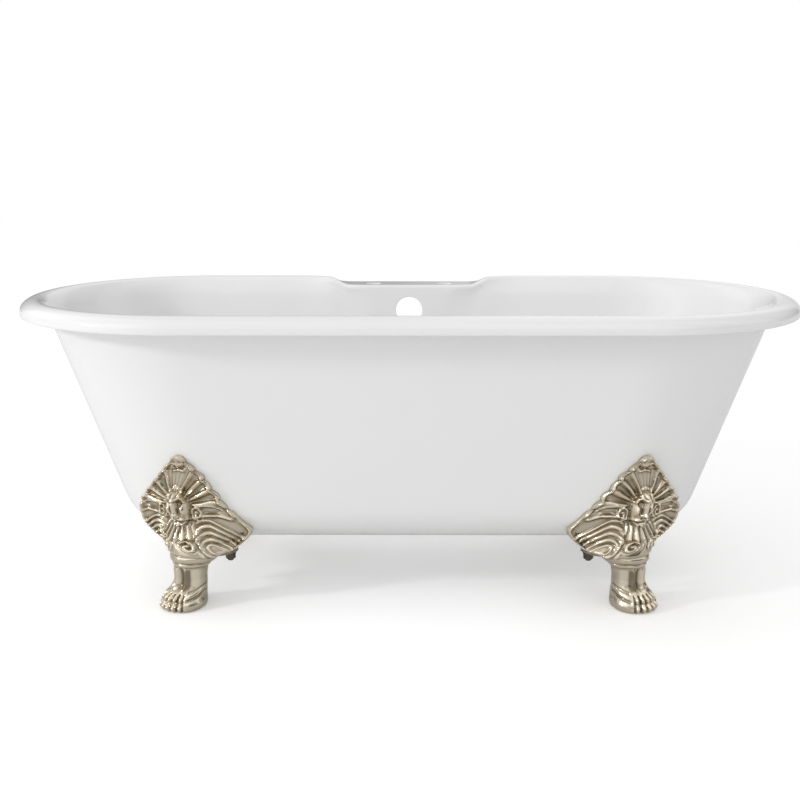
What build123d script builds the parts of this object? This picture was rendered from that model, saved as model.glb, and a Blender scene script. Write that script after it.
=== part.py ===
from build123d import *
from math import atan, cos, degrees, pi, radians, sin, sqrt, tan
import os

# A double-ended roll-top bath of enamelled cast iron on four lion-paw feet.
# Millimetres. The origin is on the floor under the middle of the bath, X runs
# along its length, the tap deck is on the +Y side, and Z points up.

# Bath outline and height
rim_length = 1727.0
rim_width = 780.0
rim_height = 650.0
underside_height = 134.0

# Walls
wall_thickness = 6.0
end_wall_slope = 20.0
side_wall_slope = 11.0
bottom_corner_radius = 107.0
corner_sections = 6

# Rolled rim, from its crest
roll_overhang = 63.0
roll_depth = 42.0
roll_crest_inset = 35.0
roll_nose_drop = 22.0
roll_lip_drop = 31.0
roll_thickness = 7.0

# Tap deck in the back rim
deck_flat_length = 298.0
deck_step_length = 53.0
deck_step = 18.0
deck_front_inset = 90.0
deck_thickness = 8.0
deck_apron_drop = 144.0
deck_apron_narrowing = 40.0

# Holes in the bath
tap_hole_radius = 17.5
tap_hole_spacing = 178.0
tap_hole_inset = 54.0
overflow_radius = 33.0
overflow_drop = 80.0
drain_radius = 26.0
drain_offset = 75.0
drain_seat_radius = 38.0
drain_seat_depth = 2.0

# Place of a foot: where it lies on the end curve, and which way its paw points
foot_wall_angle = 16.0
foot_facing_angle = 24.0
ankle_inset = 10.0

# Leg plate, hugging the bath's wall
fit_gap = 0.3
plate_thickness = 9.0
plate_top_height = 338.0
plate_mask_height = 225.0
plate_wing_height = 167.0
plate_half_width = 140.0
plate_lean = 16.0
knob_radius = 12.0

# Shell flutes, wing scrolls and mask on the leg plate
fan_flutes = 9
fan_spread = 196.0
flute_start = 26.0
flute_root_radius = 4.0
flute_end_radius = 9.0
flute_lift = 7.0
wing_flutes = 3
wing_root_radius = 6.0
wing_end_radius = 8.0
wing_drop_share = 0.4
wing_tip_share = 0.6
mask_width = 52.0
mask_length = 66.0
mask_relief = 26.0
brow_radius = 15.0
muzzle_radius = 15.0
nose_root_radius = 6.0
nose_tip_radius = 8.0
beard_flutes = 5
beard_radius = 7.0
beard_length = 52.0
brow_rise_share = 0.4
nose_drop_share = 0.25
muzzle_drop_share = 0.4
beard_pitch_share = 1.6

# Leg below the plate
collar_height = 115.0
collar_radius = 36.0
collar_bead_radius = 9.0
ring_height = 99.0
ring_radius = 36.0
ring_bead_radius = 3.5
ankle_top_radius = 37.0
ankle_waist_radius = 36.0
ankle_waist_height = 70.0
ankle_foot_radius = 37.0
ankle_foot_height = 34.0
ankle_taper_share = 0.4
ankle_flare_share = 0.5
saddle_radius = 66.0
saddle_height = 168.0
saddle_relief = 24.0

# Paw
pad_half_width = 41.0
pad_front = 52.0
pad_back = 37.0
pad_height = 46.0
toe_count = 5
toe_fan = 64.0
toe_reach = 52.0
toe_radius = 11.5
toe_root_reach = 14.0
toe_root_height = 44.0
toe_root_radius = 9.0
tendon_radius = 5.0
tendon_reach = 31.0

# Mounting lugs, flange and fasteners
stud_side = 64.0
stud_back = 62.0
stud_radius = 6.0
stud_engagement = 16.0
stud_clearance = 0.2
lug_radius = 16.0
flange_top = 118.0
flange_thickness = 10.0
flange_edge = 18.0
flange_hole_clearance = 1.0
washer_radius = 12.0
washer_thickness = 2.5
nut_flats = 19.0
nut_height = 10.8
stud_tail = 4.0

# Levelling screw and its pad
level_screw_radius = 6.0
level_engagement = 40.0
level_travel = 12.0
level_clearance = 0.3
level_flange_radius = 13.0
level_flange_thickness = 4.0
level_pad_radius = 15.0
level_pad_thickness = 5.0
level_pad_rim = 1.5
level_pocket_clearance = 1.0

# One overrun for every cut
overrun = 10.0

# Worked-out places
rim_half_length = rim_length / 2
rim_half_width = rim_width / 2
join_height = rim_height - roll_depth
end_top = rim_half_length - roll_overhang
side_top = rim_half_width - roll_overhang
rim_straight = rim_half_length - rim_half_width
corner_height = underside_height + bottom_corner_radius
deck_height = rim_height - deck_step
deck_front = rim_half_width - deck_front_inset
deck_half_length = deck_flat_length / 2 + deck_step_length
apron_base = deck_height - deck_apron_drop
level_screw_length = level_engagement + level_travel


def wall_reach(height, top, slope, grow):
    """Distance from the middle to the wall's outer face grown by grow: a
    sloping line above, and below it an arc round the bottom corner's centre."""
    lean = radians(slope)
    touch = corner_height - bottom_corner_radius * sin(lean)
    centre = top - tan(lean) * (join_height - touch) - bottom_corner_radius * cos(lean)
    radius = bottom_corner_radius + grow
    line_start = corner_height - radius * sin(lean)
    if height >= line_start:
        return centre + radius * cos(lean) + tan(lean) * (height - line_start)
    return centre + sqrt(max(radius**2 - (corner_height - height) ** 2, 0))


def half_length(height, grow=0):
    return wall_reach(height, end_top, end_wall_slope, grow)


def half_width(height, grow=0):
    return wall_reach(height, side_top, side_wall_slope, grow)


def stadium(height, reach, width):
    """Closed outline of two straight sides and two half-round ends."""
    straight = reach - width
    diagonal = width * sin(pi / 4)
    edges = []
    for side in (1, -1):
        start = (-side * straight, -side * width, height)
        edges.append(Edge.make_line(start, (side * straight, -side * width, height)))
        middle = (side * reach, 0, height)
        edges.append(Edge.make_three_point_arc(
            (side * straight, -side * width, height),
            (side * (straight + diagonal), -side * diagonal, height),
            middle,
        ))
        edges.append(Edge.make_three_point_arc(
            middle,
            (side * (straight + diagonal), side * diagonal, height),
            (side * straight, side * width, height),
        ))
    return Wire(edges)


def bath_space(grow, top=join_height):
    """The room inside the bath's outer face grown by grow, up to top."""
    radius = bottom_corner_radius + grow
    lean = radians(side_wall_slope)
    turns = [pi / 2 + (lean - pi / 2) * step / corner_sections for step in range(corner_sections + 1)]
    levels = [corner_height - radius * sin(turn) for turn in turns]
    shoulder = levels[-1]
    curve = [stadium(level, half_length(level, grow), half_width(level, grow)) for level in levels]
    straight = [stadium(level, half_length(level, grow), half_width(level, grow))
                for level in (shoulder, top)]
    return Solid.make_loft(curve, ruled=False) + Solid.make_loft(straight, ruled=True)


def roll_profile():
    """Section of the rolled rim: distance out from the wall's end centre, height."""
    wall_out = side_top
    wall_in = side_top - wall_thickness
    crest = rim_half_width - roll_crest_inset
    lean = tan(radians((end_wall_slope + side_wall_slope) / 2))
    nose = (rim_half_width, rim_height - roll_nose_drop)
    lip_height = rim_height - roll_lip_drop
    lip_in = (rim_half_width - roll_thickness, lip_height)
    outside = Edge.make_spline(
        [(wall_in, join_height), (crest, rim_height), nose],
        tangents=[(lean, 1), (1, 0), (0, -1)],
    )
    lip = Edge.make_line(nose, (rim_half_width, lip_height))
    under = Edge.make_line((rim_half_width, lip_height), lip_in)
    inside = Edge.make_spline(
        [lip_in, (crest, rim_height - roll_thickness), (wall_out, join_height)],
        tangents=[(0, 1), (-1, 0), (-lean, -1)],
    )
    seat = Edge.make_line((wall_out, join_height), (wall_in, join_height))
    return Face(Wire([outside, lip, under, inside, seat]))


def rolled_rim():
    """The roll carried round the stadium: half turns at the ends, straight sides."""
    profile = roll_profile()
    end_plane = Plane(origin=(rim_straight, 0, 0), x_dir=(0, -1, 0), z_dir=(-1, 0, 0))
    end = revolve(end_plane * profile, Axis((rim_straight, 0, 0), (0, 0, 1)), 180)
    side_plane = Plane(origin=(-rim_straight, 0, 0), x_dir=(0, 1, 0), z_dir=(1, 0, 0))
    side = extrude(side_plane * profile, 2 * rim_straight, dir=(1, 0, 0))
    return end + mirror(end, Plane.YZ) + side + mirror(side, Plane.XZ)


def step_line(drop):
    """The deck's long outline seen from the front: flat, with an S-curve up at
    each end, lowered by drop."""
    flat = deck_flat_length / 2
    low = deck_height - drop
    high = rim_height - drop
    left = Edge.make_spline([(-deck_half_length, high), (-flat, low)], tangents=[(1, 0), (1, 0)])
    middle = Edge.make_line((-flat, low), (flat, low))
    right = Edge.make_spline([(flat, low), (deck_half_length, high)], tangents=[(1, 0), (1, 0)])
    return [left, middle, right]


def front_extrusion(edges, near, far):
    """A closed outline in X and height, carried from Y near to Y far."""
    face = Face(Wire(edges))
    plane = Plane(origin=(0, near, 0), x_dir=(1, 0, 0), z_dir=(0, -1, 0))
    return extrude(plane * face, far - near, dir=(0, 1, 0))


def deck_cut():
    """What the step takes off the top of the back roll."""
    line = step_line(0)
    start = line[0] @ 0
    finish = line[-1] @ 1
    up = rim_height + overrun
    edges = line + [
        Edge.make_line(finish, (finish.X, up)),
        Edge.make_line((finish.X, up), (start.X, up)),
        Edge.make_line((start.X, up), start),
    ]
    return front_extrusion(edges, deck_front - overrun, rim_half_width + overrun)


def deck_band():
    """The deck's top skin along the whole step, before its plan is trimmed."""
    top = step_line(0)
    under = step_line(deck_thickness)
    edges = top + under + [
        Edge.make_line(top[0] @ 0, under[0] @ 0),
        Edge.make_line(top[-1] @ 1, under[-1] @ 1),
    ]
    return front_extrusion(edges, deck_front - overrun, rim_half_width + overrun)


def apron_front(height):
    """Y of the apron's front face: from the wall's inner face up to the deck's edge."""
    foot = half_width(apron_base, -wall_thickness)
    return foot + (deck_front - foot) * (height - apron_base) / deck_apron_drop


def block(low, high, low_half, high_half, low_y, high_y):
    """Six-sided block between two rectangles, each given by half length and Y range."""
    sections = []
    for height, half, (front, back) in ((low, low_half, low_y), (high, high_half, high_y)):
        sections.append(Wire.make_polygon(
            [(-half, front, height), (half, front, height), (half, back, height), (-half, back, height)],
            close=True,
        ))
    return Solid.make_loft(sections, ruled=True)


def deck_plan():
    """Plan of the deck: straight front edge, swept back to the roll at its ends."""
    flat = deck_flat_length / 2
    crest = rim_half_width - roll_crest_inset
    edges = [
        Edge.make_spline([(-deck_half_length, crest), (-flat, deck_front)], tangents=[(1, 0), (1, 0)]),
        Edge.make_line((-flat, deck_front), (flat, deck_front)),
        Edge.make_spline([(flat, deck_front), (deck_half_length, crest)], tangents=[(1, 0), (1, 0)]),
        Edge.make_line((deck_half_length, crest), (deck_half_length, rim_half_width - roll_thickness)),
        Edge.make_line((deck_half_length, rim_half_width - roll_thickness),
                       (-deck_half_length, rim_half_width - roll_thickness)),
        Edge.make_line((-deck_half_length, rim_half_width - roll_thickness), (-deck_half_length, crest)),
    ]
    return extrude(Pos(0, 0, apron_base) * Face(Wire(edges)), rim_height, dir=(0, 0, 1))


def deck_parts():
    """The deck's skin, its solid apron, and the pocket that hollows the apron."""
    flat = deck_flat_length / 2
    skin = deck_band() & deck_plan()
    middle = -wall_thickness / 2
    top = deck_height - deck_thickness / 2
    apron = block(
        apron_base, top, flat - deck_apron_narrowing, flat,
        (apron_front(apron_base), half_width(apron_base, middle)),
        (apron_front(top), half_width(top, middle)),
    )
    roof = deck_height - deck_thickness
    pocket = block(
        apron_base, roof, flat - deck_apron_narrowing - wall_thickness, flat - wall_thickness,
        (apron_front(apron_base) + wall_thickness, half_width(apron_base, overrun)),
        (apron_front(roof) + wall_thickness, rim_half_width - roll_thickness),
    )
    return skin, apron, pocket


def foot_frame(side_x, side_y):
    """Origin on the floor at the ankle's axis, X along the plate, Y outwards."""
    angle = radians(foot_wall_angle)
    width = half_width(plate_mask_height)
    straight = half_length(plate_mask_height) - width
    facing = radians(foot_facing_angle)
    out = (sin(facing), -cos(facing))
    ankle_x = straight + width * sin(angle) - ankle_inset * out[0]
    ankle_y = -width * cos(angle) - ankle_inset * out[1]
    return Vector(side_x * ankle_x, -side_y * ankle_y, 0), Vector(side_x * out[0], -side_y * out[1], 0)


def place(side, back, height=0):
    """Point of the front right foot: along the plate, outwards and up."""
    origin, out = foot_frame(1, -1)
    along = Vector(-out.Y, out.X, 0)
    return origin + along * side + out * back + Vector(0, 0, height)


def wall_point(side, height, grow):
    """Point on the grown wall at an arc distance from the plate's middle line."""
    width = half_width(height, grow)
    straight = half_length(height, grow) - width
    angle = radians(foot_wall_angle) + side / width
    if angle >= 0:
        return Vector(straight + width * sin(angle), -width * cos(angle), height)
    return Vector(straight + width * angle, -width, height)


def plate_side(height):
    """Half width of the leg plate at a height, along the wall."""
    if height >= plate_wing_height:
        share = (plate_top_height - height) / (plate_top_height - plate_wing_height)
    else:
        share = (height - flange_top) / (plate_wing_height - flange_top)
    return plate_half_width * max(share, 0)


def plate_middle(height):
    """Arc distance of the plate's middle line, which leans to the bath's middle
    above the mask."""
    share = (height - plate_mask_height) / (plate_top_height - plate_mask_height)
    return -plate_lean * max(share, 0)


def ball(centre, radius):
    return Pos(centre) * Sphere(radius)


def finger(start, finish, start_radius, finish_radius):
    """A tapered round bar between two points, with a ball at its far end."""
    line = finish - start
    plane = Plane(origin=start + line * 0.5, z_dir=line)
    if start_radius == finish_radius:
        bar = Cylinder(start_radius, line.length)
    else:
        bar = Cone(start_radius, finish_radius, line.length)
    return [plane * bar, ball(finish, finish_radius)]


def leg_plate():
    """The kite-shaped plate that hugs the wall and its bottom corner."""
    heights = (plate_top_height, plate_mask_height, plate_wing_height)
    outline = [place_flat(0, plate_top_height)]
    right = [place_flat(plate_side(height), height) for height in heights[1:]]
    left = [place_flat(-plate_side(height), height) for height in heights[1:]]
    foot_half = collar_radius + collar_bead_radius / 2
    outline += right + [(foot_half, flange_top - flange_thickness)]
    outline += [(-foot_half, flange_top - flange_thickness)] + left[::-1]
    face = Face(Wire.make_polygon([(x, y, 0) for x, y in outline], close=True))
    origin, out = foot_frame(1, -1)
    along = Vector(-out.Y, out.X, 0)
    back = stud_back + flange_edge
    plane = Plane(origin=origin - out * back, x_dir=along, z_dir=out)
    return extrude(plane * face, back + plate_half_width, dir=out)


def place_flat(side, height):
    """The wall point at an arc distance, seen in the plane square to the paw."""
    origin, out = foot_frame(1, -1)
    along = Vector(-out.Y, out.X, 0)
    point = wall_point(side + plate_middle(height), height, plate_thickness)
    return ((point - origin).dot(along), height)


def flute_reach(turn):
    """Distance from the mask's middle to the plate's upper edge, less the flute's end."""
    slope = plate_half_width / (plate_top_height - plate_wing_height)
    edge = slope * (plate_top_height - plate_mask_height) - flute_end_radius / 2
    return edge / (abs(sin(turn)) + slope * cos(turn))


def shell_fan():
    """Flutes that fan from the mask to the plate's upper edges."""
    pieces = []
    for step in range(fan_flutes):
        turn = radians(fan_spread * (step / (fan_flutes - 1) - 1 / 2))
        ends = []
        for reach in (flute_start, flute_reach(turn)):
            height = plate_mask_height + reach * cos(turn)
            ends.append(wall_point(reach * sin(turn) + plate_middle(height), height, flute_lift))
        pieces += finger(*ends, flute_root_radius, flute_end_radius)
    return pieces


def wing_scrolls():
    """Ribs that sweep from beside the mask out to the wing tips."""
    pieces = []
    spread = plate_mask_height - plate_wing_height
    for hand in (1, -1):
        for step in range(wing_flutes):
            share = (step + 1 / 2) / wing_flutes
            root_height = plate_wing_height + spread * (share - wing_drop_share)
            tip_height = plate_wing_height + spread * (share - 1 / 2) * wing_tip_share
            start = wall_point(hand * mask_width / 2, root_height, flute_lift)
            tip = plate_side(tip_height) - wing_end_radius
            finish = wall_point(hand * tip, tip_height, flute_lift)
            pieces += finger(start, finish, wing_root_radius, wing_end_radius)
    return pieces


def lion_mask():
    """Brow, long nose, muzzle and beard, standing off the middle of the plate."""
    centre = wall_point(0, plate_mask_height, plate_thickness)
    head = Pos(centre) * scale(Sphere(1), by=(mask_width / 2, mask_relief, mask_length / 2))
    top = wall_point(0, plate_mask_height + mask_length * brow_rise_share, plate_thickness)
    tip = wall_point(0, plate_mask_height - mask_length * nose_drop_share, mask_relief)
    pieces = [head, ball(top, brow_radius)]
    pieces += finger(top, tip, nose_root_radius, nose_tip_radius)
    for hand in (1, -1):
        height = plate_mask_height - mask_length * muzzle_drop_share
        cheek = wall_point(hand * muzzle_radius, height, plate_thickness)
        pieces.append(ball(cheek, muzzle_radius))
    for step in range(beard_flutes):
        side = (step - (beard_flutes - 1) / 2) * beard_radius * beard_pitch_share
        chin = plate_mask_height - mask_length / 2
        high = wall_point(side, chin, plate_thickness)
        low = place(side, collar_radius - beard_radius / 2, chin - beard_length)
        pieces += finger(high, low, beard_radius, beard_radius)
    return pieces


def leg_core():
    """Collar, ankle and the saddle that flares up under the bath."""
    axis = Axis(place(0, 0), (0, 0, 1))
    ring_low = ring_height - ring_bead_radius
    collar_top = collar_height + collar_bead_radius
    points = [
        (ankle_top_radius, ring_low),
        (ankle_waist_radius, ankle_waist_height),
        (ankle_foot_radius, ankle_foot_height),
    ]
    edges = [
        Edge.make_line((0, collar_top), (collar_radius, collar_top)),
        Edge.make_line((collar_radius, collar_top), (ankle_top_radius, ring_low)),
        Edge.make_spline(points, tangents=[(-ankle_taper_share, -1), (ankle_flare_share, -1)]),
        Edge.make_line(points[-1], (0, ankle_foot_height)),
        Edge.make_line((0, ankle_foot_height), (0, collar_top)),
    ]
    origin = place(0, 0)
    plane = Plane(origin=origin, x_dir=(1, 0, 0), z_dir=(0, -1, 0))
    core = revolve(plane * Face(Wire(edges)), axis, 360)
    flare = saddle_height - collar_height
    saddle = Pos(place(0, 0, collar_height + flare / 2)) * Cone(collar_radius, saddle_radius, flare)
    saddle = saddle & bath_space(saddle_relief)
    bead = Pos(place(0, 0, collar_height)) * Torus(collar_radius, collar_bead_radius)
    ring = Pos(place(0, 0, ring_height)) * Torus(ring_radius, ring_bead_radius)
    return [core, saddle, bead, ring]


def paw():
    """Pad, heel, toes with knuckles, and the tendons up the front of the ankle."""
    middle = (pad_front - pad_back) / 2
    turn = Rot(0, 0, foot_facing_angle)
    sizes = (pad_half_width, (pad_front + pad_back) / 2, pad_height)
    pad = Pos(place(0, middle)) * (turn * scale(Sphere(1), by=sizes))
    pieces = [pad]
    for step in range(toe_count):
        angle = radians(toe_fan * (2 * step / (toe_count - 1) - 1))
        side, front = sin(angle), cos(angle)
        root = place(side * (toe_root_reach + pad_half_width / 3), middle + front * toe_root_reach, toe_root_height)
        tip = place(side * (pad_half_width - toe_radius / 2), middle + front * toe_reach, toe_radius)
        pieces += [ball(root, toe_root_radius)]
        pieces += finger(root, tip, toe_root_radius, toe_radius)
        if 0 < step < toe_count - 1:
            low = place(side * ankle_waist_radius, front * tendon_reach, toe_root_height)
            high = place(side * ankle_waist_radius, front * tendon_reach, ring_height)
            pieces += finger(low, high, tendon_radius, tendon_radius)
    return pieces


def flange():
    """The flat flange under the bath that the two studs pass through."""
    corners = [
        (stud_side + flange_edge, -stud_back - flange_edge),
        (stud_side + flange_edge, -stud_back + flange_edge),
        (collar_radius, 0),
        (-collar_radius, 0),
        (-stud_side - flange_edge, -stud_back + flange_edge),
        (-stud_side - flange_edge, -stud_back - flange_edge),
    ]
    low = flange_top - flange_thickness
    points = [place(side, back, low) for side, back in corners]
    face = Face(Wire.make_polygon(points, close=True))
    slab = Solid.extrude(face, Vector(0, 0, flange_thickness))
    return slab.fillet(flange_edge / 2, slab.edges().filter_by(Axis.Z))


def stud_points(height):
    return [place(hand * stud_side, -stud_back, height) for hand in (1, -1)]


def upright(centre, radius, length):
    """A round bar that stands on a point."""
    return Pos(centre + Vector(0, 0, length / 2)) * Cylinder(radius, length)


def foot(bath_room, plate_room):
    """One whole foot casting for the front right corner."""
    plate = plate_room & leg_plate()
    pieces = [plate] + shell_fan() + wing_scrolls() + lion_mask() + leg_core() + paw() + [flange()]
    knob_height = plate_top_height - knob_radius / 2
    tip = wall_point(plate_middle(knob_height), knob_height, flute_lift)
    pieces.append(ball(tip, knob_radius))
    whole = pieces[0]
    whole = whole.fuse(*pieces[1:])
    whole = whole - bath_room
    size = 2 * rim_height
    whole -= Pos(place(0, 0, -size / 2)) * Box(size, size, size)
    for centre in stud_points(flange_top):
        whole -= upright(centre, lug_radius + fit_gap, saddle_height)
        hole = centre - Vector(0, 0, flange_thickness + overrun)
        whole -= upright(hole, stud_radius + flange_hole_clearance, flange_thickness + 2 * overrun)
    for centre in stud_points(flange_top - flange_thickness - saddle_height):
        whole -= upright(centre, washer_radius + flange_hole_clearance, saddle_height)
    pocket = level_pad_radius + level_pocket_clearance
    depth = level_pad_thickness + level_flange_thickness + fit_gap
    whole -= upright(place(0, 0, -overrun), pocket, depth + overrun)
    bore = level_pad_thickness + level_flange_thickness + level_screw_length + level_pocket_clearance
    whole -= upright(place(0, 0, 0), level_screw_radius + level_clearance, bore)
    return whole


def bath_body(bath_room):
    """Shell, roll, deck, holes and the lugs under the corners, one casting."""
    lugs = []
    for side_x in (1, -1):
        for side_y in (1, -1):
            for centre in stud_points(flange_top):
                spot = Vector(side_x * centre.X, side_y * centre.Y, centre.Z)
                lugs.append(upright(spot, lug_radius, bottom_corner_radius))
    lug_group = lugs[0].fuse(*lugs[1:])
    floor_level = underside_height + wall_thickness
    shell = bath_room.fuse(lug_group & block(
        flange_top, corner_height, rim_half_length, rim_half_length,
        (-rim_half_width, rim_half_width), (-rim_half_width, rim_half_width),
    ))
    shell -= bath_space(-wall_thickness)
    shell += rolled_rim()
    skin, apron, pocket = deck_parts()
    shell -= deck_cut()
    shell = shell + skin + apron
    shell -= pocket
    for hand in (1, -1):
        hole = Vector(hand * tap_hole_spacing / 2, rim_half_width - tap_hole_inset,
                      deck_height - deck_thickness - overrun)
        shell -= upright(hole, tap_hole_radius, deck_thickness + 2 * overrun)
    overflow_height = rim_height - overflow_drop
    lean = atan((apron_front(apron_base) - deck_front) / deck_apron_drop)
    overflow = Cylinder(overflow_radius, 2 * (wall_thickness + overrun))
    middle = (0, apron_front(overflow_height), overflow_height)
    shell -= Pos(middle) * (Rot(90 + degrees(lean), 0, 0) * overflow)
    drain = Vector(0, drain_offset, underside_height - overrun)
    shell -= upright(drain, drain_radius, wall_thickness + 2 * overrun)
    seat = Vector(0, drain_offset, floor_level - drain_seat_depth)
    shell -= upright(seat, drain_seat_radius, drain_seat_depth + overrun)
    for side_x in (1, -1):
        for side_y in (1, -1):
            for centre in stud_points(flange_top - overrun):
                spot = Vector(side_x * centre.X, side_y * centre.Y, centre.Z)
                shell -= upright(spot, stud_radius + stud_clearance, stud_engagement + overrun)
    return shell


def fasteners():
    """Studs, washers and nuts of the front right foot, each as a pair of solids."""
    nut_bottom = flange_top - flange_thickness - washer_thickness - nut_height
    stud_bottom = nut_bottom - stud_tail
    stud_length = flange_top + stud_engagement - stud_bottom
    studs, washers, nuts = [], [], []
    for low, washer, nut in zip(
        stud_points(stud_bottom),
        stud_points(nut_bottom + nut_height),
        stud_points(nut_bottom),
    ):
        studs.append(upright(low, stud_radius, stud_length))
        ring = upright(washer, washer_radius, washer_thickness)
        hole = washer - Vector(0, 0, overrun)
        washers.append(ring - upright(hole, stud_radius + stud_clearance, washer_thickness + 2 * overrun))
        across = nut_flats / sqrt(3)
        hexagon = extrude(Pos(nut) * RegularPolygon(across, 6), nut_height)
        hole = nut - Vector(0, 0, overrun)
        nuts.append(hexagon - upright(hole, stud_radius + stud_clearance, nut_height + 2 * overrun))
    return Compound(studs), Compound(washers), Compound(nuts)


def levelling_parts():
    """The levelling screw with its flange, and the pad moulded round the flange."""
    flange_low = level_pad_thickness - level_pad_rim
    screw = upright(place(0, 0, flange_low), level_flange_radius, level_flange_thickness + level_pad_rim)
    screw += upright(place(0, 0, flange_low), level_screw_radius,
                     level_screw_length + level_flange_thickness + level_pad_rim)
    pad = upright(place(0, 0, 0), level_pad_radius, level_pad_thickness)
    pad -= upright(place(0, 0, flange_low), level_flange_radius, level_pad_thickness)
    return screw, pad


def to_corner(shape, side_x, side_y):
    """Mirror a piece of the front right foot to one of the four corners."""
    if side_x < 0:
        shape = mirror(shape, Plane.YZ)
    if side_y > 0:
        shape = mirror(shape, Plane.XZ)
    return shape


corners = {
    "front_right": (1, -1),
    "front_left": (-1, -1),
    "back_right": (1, 1),
    "back_left": (-1, 1),
}

os.makedirs("parts", exist_ok=True)
bath_room = bath_space(0)
plate_room = bath_space(plate_thickness)
seat_room = bath_space(fit_gap)
export_step(bath_body(bath_room), "parts/bath_body.step")
foot_casting = foot(seat_room, plate_room)
studs, washers, nuts = fasteners()
screw, pad = levelling_parts()
pieces = {
    "foot": foot_casting,
    "mounting_studs": studs,
    "washers": washers,
    "nuts": nuts,
    "levelling_screw": screw,
    "levelling_pad": pad,
}
for corner, (side_x, side_y) in corners.items():
    for name, shape in pieces.items():
        export_step(to_corner(shape, side_x, side_y), f"parts/{name}_{corner}.step")
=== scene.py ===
# %% [markdown]
# # A roll-top bath on lion-paw feet
# The frame is the engineer's model of the bath: one iron casting, four feet, and
# the fasteners and levelling screws that hold and level them. We dress it here
# with smooth enamel and carved, nickel-plated feet. Every length is in metres,
# the floor is z = 0, X runs along the bath and the tap deck is on the +Y side.

import bmesh
import bpy
import numpy as np
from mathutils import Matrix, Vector


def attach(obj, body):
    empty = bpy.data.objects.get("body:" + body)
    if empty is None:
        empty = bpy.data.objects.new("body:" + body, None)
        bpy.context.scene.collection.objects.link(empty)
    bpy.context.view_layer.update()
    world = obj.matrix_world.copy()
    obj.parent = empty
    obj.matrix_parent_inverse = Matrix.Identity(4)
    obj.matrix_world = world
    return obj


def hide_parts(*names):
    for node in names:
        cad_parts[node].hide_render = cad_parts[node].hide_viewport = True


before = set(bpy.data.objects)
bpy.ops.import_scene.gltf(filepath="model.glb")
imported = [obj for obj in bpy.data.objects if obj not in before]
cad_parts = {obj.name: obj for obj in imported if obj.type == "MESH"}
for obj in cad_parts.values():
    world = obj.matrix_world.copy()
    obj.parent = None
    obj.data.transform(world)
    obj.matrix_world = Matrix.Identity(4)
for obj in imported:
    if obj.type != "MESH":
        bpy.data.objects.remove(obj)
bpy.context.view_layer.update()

# %% [markdown]
# ## Tools for grids
# Most pieces below are one idea: a table of points, rows by columns, joined to
# its neighbours by four-sided faces. We work out the whole table with numpy and
# hand it to Blender once, which is quick and leaves nothing to chance.


# %% Grid helpers
def grid_faces(index, closed=False):
    """Four-sided faces between neighbouring rows and columns of a table of
    vertex numbers; closed joins the last column to the first."""
    right = np.roll(index, -1, axis=1) if closed else index[:, 1:]
    left = index if closed else index[:, :-1]
    return np.stack([left[:-1], right[:-1], right[1:], left[1:]], axis=-1).reshape(-1, 4)


def smooth_step(x):
    """0 below 0, 1 above 1, and 3x^2 - 2x^3 between."""
    x = np.clip(x, 0.0, 1.0)
    return x * x * (3.0 - 2.0 * x)


def bell(distance, width):
    """A round hill of height 1: e to the power of minus (distance / width)^2."""
    return np.exp(-((distance / width) ** 2))


def hermite(start, start_pull, end, end_pull, count):
    """Points on the cubic that leaves start along start_pull and reaches end
    along end_pull."""
    t = np.linspace(0.0, 1.0, count)[:, None]
    a, b, c, d = (np.asarray(v, float) for v in (start, start_pull, end, end_pull))
    return ((2 * t**3 - 3 * t**2 + 1) * a + (t**3 - 2 * t**2 + t) * b
            + (3 * t**2 - 2 * t**3) * c + (t**3 - t**2) * d)


def quarter_turn(centre, radius, start_angle, end_angle, count):
    """Points on an arc between two angles, in radians."""
    angle = np.linspace(start_angle, end_angle, count)
    return np.stack([centre[0] + radius * np.cos(angle), centre[1] + radius * np.sin(angle)], axis=1)


def straight(start, end, count):
    return np.linspace(start, end, count)


def build_mesh(name, points, faces, material, painted_shade_and_patina=None):
    """One mesh object from arrays of points and faces, smooth all over, with an
    optional value per point that the material can read."""
    mesh = bpy.data.meshes.new(name)
    mesh.from_pydata(np.asarray(points).tolist(), [], [list(face) for face in faces])
    mesh.polygons.foreach_set("use_smooth", np.ones(len(mesh.polygons), dtype=bool))
    if painted_shade_and_patina is not None:
        layer = mesh.attributes.new("painted_shade_and_patina", "FLOAT", "POINT")
        layer.data.foreach_set("value", np.asarray(painted_shade_and_patina, dtype=np.float32))
    mesh.update()
    piece = bpy.data.objects.new(name, mesh)
    bpy.context.scene.collection.objects.link(piece)
    mesh.materials.append(material)
    print(name, len(mesh.vertices), "points", len(mesh.polygons), "faces")
    return piece


# %% [markdown]
# ## Enamel
# Vitreous enamel is glass fused onto iron: white, glossy, and never quite flat.
# A very low, wide bump gives the slow waver of its reflections, and a faint
# noise in the roughness keeps the gloss from looking like plastic.


# %% Enamel material
def node_material(name):
    """An empty node material with its Principled shader, ready for sockets."""
    material = bpy.data.materials.new(name)
    material.use_nodes = True
    nodes = material.node_tree.nodes
    return material, nodes, material.node_tree.links, nodes["Principled BSDF"]


def object_noise(nodes, links, scale, detail=2.0):
    """Noise on the piece's own coordinates, at scale waves to a metre."""
    where = nodes.new("ShaderNodeTexCoord")
    noise = nodes.new("ShaderNodeTexNoise")
    noise.inputs["Scale"].default_value = scale
    noise.inputs["Detail"].default_value = detail
    links.new(where.outputs["Object"], noise.inputs["Vector"])
    return noise


def spread(nodes, links, source, low, high):
    """Maps a noise's 0.3 to 0.7 onto low to high."""
    span = nodes.new("ShaderNodeMapRange")
    span.inputs["From Min"].default_value = 0.3
    span.inputs["From Max"].default_value = 0.7
    span.inputs["To Min"].default_value = low
    span.inputs["To Max"].default_value = high
    links.new(source, span.inputs["Value"])
    return span.outputs["Result"]


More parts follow.
